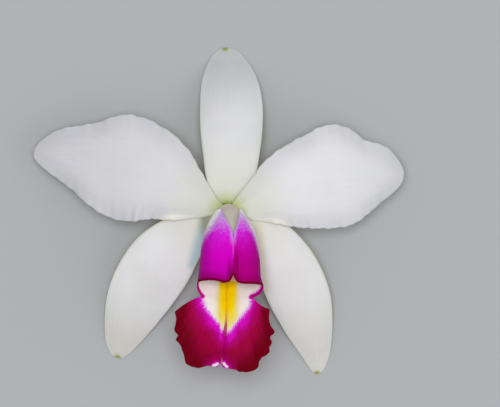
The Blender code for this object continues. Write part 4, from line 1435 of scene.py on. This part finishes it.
def lip_surface():
    """The lip as one open surface: rows of the tube from its base to the front margins, whose
    middle columns run on as the rows of the middle lobe. Gives points, quads and fields."""
    beyond = 1 - (1 - np.linspace(0, 1, SIDE_COLUMNS + 1)) ** SEAM_CLOSING
    middle = np.linspace(-1, 1, LOBE_COLUMNS + 1)
    fan = np.concatenate([-1 - beyond[:0:-1], middle, 1 + beyond[1:]])
    sinus = np.where(fan < 0, SINUS_LEFT, SINUS_RIGHT)
    turn = np.sign(fan) * np.where(
        np.abs(fan) <= 1, np.abs(fan) * sinus, sinus + (1 - sinus) * (np.abs(fan) - 1)
    )
    turn = turn[None, :] + np.zeros((TUBE_ROWS + 1, 1))
    around = np.abs(turn)
    front = by_side(turn, FRONT_LEFT, FRONT_RIGHT, around)
    reach = np.linspace(0, 1, TUBE_ROWS + 1)[:, None] ** LIP_ROW_CLOSING * front
    edge = by_side(turn, LOBE_EDGE_LEFT, LOBE_EDGE_RIGHT, reach)
    bent = turn * (1 - (1 - edge) * ease((around - sinus) / (1 - sinus)))
    tube = tube_points(bent, reach)
    flare = np.where(turn < 0, -FLARE_LEFT, FLARE_RIGHT) * bump(around - FLARE_TURN, FLARE_SPREAD)
    tube[..., 0] += flare * ease((reach - front + FLARE_STRETCH) / FLARE_STRETCH)
    across = middle[None, :] + np.zeros((LOBE_ROWS + 1, 1))
    out = np.linspace(0, 1, LOBE_ROWS + 1)[:, None] ** LIP_ROW_CLOSING + 0 * across
    lobe = lobe_points(across, out)

    tube_number = np.arange(turn.size).reshape(turn.shape)
    shared = tube_number[-1:, SIDE_COLUMNS : SIDE_COLUMNS + LOBE_COLUMNS + 1]
    fresh = turn.size + np.arange(LOBE_ROWS * (LOBE_COLUMNS + 1)).reshape(LOBE_ROWS, -1)
    quads = np.concatenate([grid_quads(tube_number), grid_quads(np.concatenate([shared, fresh]))])
    points = np.concatenate([tube.reshape(-1, 3), lobe[1:].reshape(-1, 3)])
    fields = lip_fields(points, fan, (turn, reach, front, sinus), (across, out))
    return points, quads[:, ::-1], fields


class BLOOM_OT_lip(bpy.types.Operator):
    """Adds the lip: side lobes folded into a tube, and the ruffled middle lobe"""

    bl_idname = "bloom.lip"
    bl_label = "Lip"

    def execute(self, context):
        look = context.scene.bloom_lip
        points, quads, fields = lip_surface()
        run, median, lobe = fields["run_mm"], fields["median_mm"], fields["lobe"]
        wall, thin = look.wall / MM, look.margin / MM
        margin = np.minimum(fields["front_mm"], fields["seam_mm"])
        thick = thin + (wall - thin) * ease(margin / LIP_THINNING)
        # On the inside, a groove down the middle with a low keel on each side of it
        keels = bump(median - KEEL_ASIDE, *LIP_KEEL) + bump(median + KEEL_ASIDE, *LIP_KEEL)
        keels = keels - bump(median, *LIP_GROOVE)
        keels = keels * ease((run - KEELS_START) / KEELS_GROWTH) * ease((KEELS_END - run) / KEELS_FADE)
        veins = LOBE_VEIN * np.sin(LOBE_VEIN_TURNS * fields["fan"]) * lobe
        inside = thick / 2 + keels + veins - bump(median, *LOBE_GROOVE) * lobe
        outside = thick / 2 - OUTSIDE_VEINS * veins
        points, faces, sources, sides = shell(points, quads, inside, outside)
        values = {key: field[sources] for key, field in fields.items()}
        values["inner"] = (1 + sides) / 2
        make_piece("lip_wall", points, faces, lip_tissue(look), "lip", values)
        return {"FINISHED"}


def tube_faces(rows, turns):
    """Quads round a closed tube of rings, and a fan of triangles onto the middle point of
    each end. The middle points come after the rings."""
    number = np.arange(rows * turns).reshape(rows, turns)
    number = np.concatenate([number, number[:, :1]], axis=1)
    quads = grid_quads(number)[:, ::-1]
    first, last = number[0], number[-1]
    start = np.stack([np.full(turns, rows * turns), first[:-1], first[1:]], axis=-1)
    end = np.stack([np.full(turns, rows * turns + 1), last[1:], last[:-1]], axis=-1)
    return [*quads.tolist(), *start[:, ::-1].tolist(), *end[:, ::-1].tolist()]


def ring_angles(turns):
    """Angles of a tube's corners, round from its upper side."""
    return np.linspace(0, 2 * np.pi, turns, endpoint=False)


def along_path(path, spans):
    """Places, and radii if the path has them, on the smooth curve through a path's places,
    which lie one span apart."""
    table = np.array(path)
    knots = np.arange(len(table))
    return np.stack([smooth(np.column_stack([knots, column]), spans) for column in table.T], axis=-1)


def tube_spots(path, rows, start, end):
    """Spots for swept: shares of the radius at the start, the whole path in rows, and shares
    of the radius with their pushes at the end."""
    last = len(path) - 1
    return (
        [(0.0, share, 0.0) for share in start]
        + [(last * i / rows, 1.0, 0.0) for i in range(rows + 1)]
        + [(last, share, push) for share, push in end]
    )


def swept(path, spots, turns, section):
    """A closed tube along the smooth curve through a path's places.

    Each spot is: spans along the path, share of the radius, and push along the way, so an
    end is rounded or closed by spots that share a place. section(angle, spans) gives the
    radius as a share, with angle 0 on the tube's upper side and a quarter-turn at +X.
    """
    spans, shrink, push = np.array(spots, float).T
    here = along_path(path, spans)
    ahead, behind = (along_path(path, spans + step)[:, :3] for step in (PATH_STEP, -PATH_STEP))
    way = unit(ahead - behind)
    side = unit(SIDE_DIR - way * (way @ SIDE_DIR)[:, None])
    upper = np.cross(way, side)
    angle = ring_angles(turns)[None, :]
    radius = here[:, 3:] * shrink[:, None] * section(angle, spans[:, None])
    middle = here[:, :3] + way * push[:, None]
    outward = side[:, None] * np.sin(angle)[..., None] + upper[:, None] * np.cos(angle)[..., None]
    points = middle[:, None] + radius[..., None] * outward
    distance = np.concatenate([[0], np.cumsum(np.linalg.norm(np.diff(middle, axis=0), axis=1))])
    along_mm = np.concatenate([np.repeat(distance, turns), distance[[0, -1]]])
    points = np.concatenate([points.reshape(-1, 3), middle[[0, -1]]])
    return points, tube_faces(len(spots), turns), along_mm


def column_section(angle, spans):
    """Share of the column's radius: round on its back, flatter below, with a low wing on each
    side and a hollow, the stigma, below its far end."""
    below = (1 - np.cos(angle)) / 2
    far = ease(spans / SECTION_CHANGE - 1)
    wings = sum(bump(angle - place, WING_SPREAD) for place in (WING_ANGLE, 2 * np.pi - WING_ANGLE))
    stigma = bump(angle - np.pi, STIGMA_ROUND) * bump(spans - STIGMA_PLACE, STIGMA_LENGTH)
    return 1 - FLATTENING * below * far + WING_HEIGHT * far * wings - STIGMA_DEPTH * stigma


class BLOOM_OT_column(bpy.types.Operator):
    """Adds the column inside the lip, with its stigma"""

    bl_idname = "bloom.column"
    bl_label = "Column"

    def execute(self, context):
        look = context.scene.bloom_column
        spots = tube_spots(COLUMN_PATH, COLUMN_ROWS, COLUMN_FOOT, COLUMN_BOWL)
        points, faces, along = swept(COLUMN_PATH, spots, COLUMN_TURNS, column_section)
        flesh = fleshy_tissue("waxy column flesh", look.back, look.side, look.flush, COLUMN_FLUSH)
        # Painted light: share of the paler colour at the sides and the foot
        sideways = np.abs(np.sin(ring_angles(COLUMN_TURNS)))
        painted_light_flank = np.tile(ease((sideways - FLANK_START) / FLANK_GROWTH), len(spots))
        painted_light_flank = np.maximum(np.append(painted_light_flank, [0.0, 0.0]), ease((FOOT_END - along) / FOOT_FADE))
        values = {"along_mm": along, "painted_light_flank": painted_light_flank}
        make_piece("column_body", points, faces, flesh, "column", values)
        return {"FINISHED"}


def column_end():
    """Middle, way, sideways and upward direction of the column's far end."""
    last = len(COLUMN_PATH) - 1
    end, before = along_path(COLUMN_PATH, np.array([last, last - COLUMN_END_STEP]))[:, :3]
    way = unit(end - before)
    side = unit(SIDE_DIR - way * (way @ SIDE_DIR))
    return end, way, side, np.cross(way, side)


class BLOOM_OT_anther(bpy.types.Operator):
    """Adds the anther cap on the column's end and the pollen masses under it"""

    bl_idname = "bloom.anther"
    bl_label = "Anther"

    def execute(self, context):
        look = context.scene.bloom_column
        place = column_end()
        self.add_cap(look, *place)
        self.add_pollen(look, *place)
        return {"FINISHED"}

    def add_cap(self, look, end, way, side, upper):
        """A dome of even thickness, open below, whose crown is parted by a shallow groove."""
        fall = np.linspace(CAP_TOP, 1, CAP_RINGS)[:, None] * np.pi / 2
        turn = ring_angles(CAP_TURNS)[None, :]
        x = CAP_RADIUS * np.sin(fall) * np.sin(turn)
        y = CAP_RADIUS * np.sin(fall) * np.cos(turn)
        groove = CAP_GROOVE * bump(x, CAP_GROOVE_WIDTH) * np.cos(fall) ** 0.5
        z = GAP + CAP_DEPTH * np.cos(fall) - groove
        dome = end + x[..., None] * side + y[..., None] * upper + z[..., None] * way
        number = np.arange(x.size).reshape(x.shape)
        ring = np.concatenate([number, number[:, :1]], axis=1)
        quads = grid_quads(ring)
        dome = dome.reshape(-1, 3)
        normals = np.concatenate([corner_normals(dome, quads), [way]])
        hub = len(dome)
        shift = hub + 1
        dome = np.concatenate([dome, [end + way * (GAP + CAP_DEPTH - CAP_GROOVE)]])
        points = np.concatenate([dome, dome - normals * CAP_WALL])
        low = ring[-1]
        rim = np.stack([low[:-1], low[1:], low[1:] + shift, low[:-1] + shift], axis=-1)
        crown = [[hub, ring[0][i + 1], ring[0][i]] for i in range(CAP_TURNS)]
        faces = quads.tolist() + (quads[:, ::-1] + shift).tolist() + rim.tolist()
        faces += crown + [[k + shift for k in face[::-1]] for face in crown]
        flesh = fleshy_tissue("waxy anther cap", look.cap, look.cap, look.flush, CAP_FLUSH)
        values = {"along_mm": np.full(len(points), CAP_ALONG)}
        make_piece("anther_dome", points, faces, flesh, "anther_cap", values)

    def add_pollen(self, look, end, way, side, upper):
        """Four egg-shaped pollen masses in two pairs, on one short sticky stalk."""
        middle = end + way * (GAP + POLLEN_DEPTH)
        fall = np.linspace(0, np.pi, POLLEN_RINGS + 2)[1:-1, None]
        turn = ring_angles(POLLEN_TURNS)[None, :]
        ball = [np.sin(fall) * np.cos(turn), np.sin(fall) * np.sin(turn), np.cos(fall) + 0 * turn]
        ball = np.stack(ball, axis=-1).reshape(-1, 3)
        ball = np.concatenate([ball, [[0, 0, 1.0], [0, 0, -1.0]]])
        ball_faces = tube_faces(POLLEN_RINGS, POLLEN_TURNS)
        points, faces = [], []
        lumps = [(a, b, (1.0, 1.0, 1.0)) for a in (-1, 1) for b in (-1, 1)] + [(0, 0, POLLEN_STALK)]
        for a, b, shape in lumps:
            offset = (a * side + b * upper) * POLLEN_OFFSET
            local = ball * np.array(shape) * POLLEN_RADIUS
            shift = len(points) * len(ball)
            points.append(middle + offset + local @ np.array([side, upper, way]))
            faces += [[k + shift for k in face] for face in ball_faces]
        wax = waxy_pollen(look)
        make_piece("pollen_masses", np.concatenate(points), faces, wax, "pollinia", {})


def rib_wave(angle):
    """Wave round the stalk: 1 on each rib and -1 in each furrow."""
    return np.cos(RIBS * (angle + np.pi / 2))


def rib_section(angle, spans):
    """Share of the stalk's radius: six round ribs, parted by narrow furrows."""
    wave = rib_wave(angle)
    return 1 - RIB_SHARE + RIB_SHARE * wave - FURROW_SHARE * bump(wave + 1, FURROW_WAVE) + 0 * spans


class BLOOM_OT_stalk(bpy.types.Operator):
    """Adds the ribbed ovary and the flower stalk below it, with its cut end"""

    bl_idname = "bloom.stalk"
    bl_label = "Stalk"

    def execute(self, context):
        look = context.scene.bloom_stalk
        spots = tube_spots(STALK_PATH, STALK_ROWS, STALK_TOP, STALK_CUT)
        points, faces, along = swept(STALK_PATH, spots, STALK_TURNS, rib_section)
        angle = ring_angles(STALK_TURNS)
        rib = np.tile(RIB_TONE * (1 + rib_wave(angle)) / 2, len(spots))
        cut = np.zeros((len(spots), STALK_TURNS))
        cut[-CUT_RINGS:] = 1.0
        values = {
            "along_mm": along,
            "rib": np.append(rib, [0.5, 0.5]),
            "turn": np.append(np.tile(angle / (2 * np.pi), len(spots)), [0.0, 0.0]),
            "cut": np.append(cut, [0.0, 1.0]),
        }
        skin = green_stalk(look)
        make_piece("ribbed_ovary_and_stalk", points, faces, skin, "ovary_pedicel", values)
        return {"FINISHED"}


class BLOOM_OT_stage(bpy.types.Operator):
    """Adds the floor, the lights and the camera"""

    bl_idname = "bloom.stage"
    bl_label = "Stage"

    def execute(self, context):
        look = context.scene.bloom_stage
        half = FLOOR_SIDE / 2
        mesh = bpy.data.meshes.new("floor")
        corners = [(-half, -half, 0.0), (half, -half, 0.0), (half, half, 0.0), (-half, half, 0.0)]
        mesh.from_pydata(corners, [], [(0, 1, 2, 3)])
        paint, node = new_material("matt floor paint")
        matt = node("ShaderNodeBsdfPrincipled", {"Base Color": look.floor, "Roughness": 0.9})
        node("ShaderNodeOutputMaterial", {"Surface": matt})
        mesh.materials.append(paint)
        floor = bpy.data.objects.new("floor", mesh)
        context.scene.collection.objects.link(floor)

        self.add_light("key", KEY_PLACE, KEY_SIZE, look.key_power)
        self.add_light("fill", FILL_PLACE, FILL_SIZE, look.fill_power)
        world = bpy.data.worlds.new("even surround")
        world.use_nodes = True
        sky = world.node_tree.nodes["Background"]
        sky.inputs["Color"].default_value = (1.0, 1.0, 1.0, 1.0)
        sky.inputs["Strength"].default_value = look.sky
        context.scene.world = world
        # Plain sRGB, because a film-like transform can't show the lip's pure magenta
        context.scene.view_settings.view_transform = "Standard"

        camera = bpy.data.objects.new("camera", bpy.data.cameras.new("camera"))
        camera.data.sensor_width = SENSOR_WIDTH
        camera.data.lens = SENSOR_WIDTH * CAMERA_ABOVE / VIEW_WIDTH
        camera.location = (CAMERA_X * MM, CAMERA_Y * MM, CAMERA_HEIGHT * MM)
        context.scene.collection.objects.link(camera)
        context.scene.camera = camera
        return {"FINISHED"}

    def add_light(self, name, place, size, power):
        """A square soft light that faces the bloom."""
        lamp = bpy.data.lights.new(name, "AREA")
        lamp.size = size
        lamp.energy = power
        light = bpy.data.objects.new(name, lamp)
        light.location = place
        light.rotation_euler = (-Vector(place)).to_track_quat("-Z", "Y").to_euler()
        bpy.context.scene.collection.objects.link(light)


class BLOOM_PT_panel(bpy.types.Panel):
    """Lists the pieces of the bloom"""

    bl_idname = "BLOOM_PT_panel"
    bl_label = "Cattleya bloom"
    bl_space_type = "VIEW_3D"
    bl_region_type = "UI"
    bl_category = "Bloom"

    def draw(self, context):
        for operator in OPERATORS:
            self.layout.operator(operator.bl_idname)


SETTINGS = {
    "bloom_blades": BladeSettings,
    "bloom_lip": LipSettings,
    "bloom_column": ColumnSettings,
    "bloom_stalk": StalkSettings,
    "bloom_stage": StageSettings,
}
OPERATORS = (
    BLOOM_OT_stage,
    BLOOM_OT_sepals,
    BLOOM_OT_petals,
    BLOOM_OT_lip,
    BLOOM_OT_column,
    BLOOM_OT_anther,
    BLOOM_OT_stalk,
)


def register():
    for group in SETTINGS.values():
        bpy.utils.register_class(group)
    for operator in (*OPERATORS, BLOOM_PT_panel):
        bpy.utils.register_class(operator)
    for name, group in SETTINGS.items():
        setattr(bpy.types.Scene, name, bpy.props.PointerProperty(type=group))


def unregister():
    for name in SETTINGS:
        delattr(bpy.types.Scene, name)
    for operator in (BLOOM_PT_panel, *reversed(OPERATORS)):
        bpy.utils.unregister_class(operator)
    for group in reversed(list(SETTINGS.values())):
        bpy.utils.unregister_class(group)


def main():
    """Builds the stage and every piece."""
    register()
    bpy.ops.bloom.stage()
    bpy.ops.bloom.sepals()
    bpy.ops.bloom.petals()
    bpy.ops.bloom.lip()
    bpy.ops.bloom.column()
    bpy.ops.bloom.anther()
    bpy.ops.bloom.stalk()


if __name__ == "__main__":
    main()
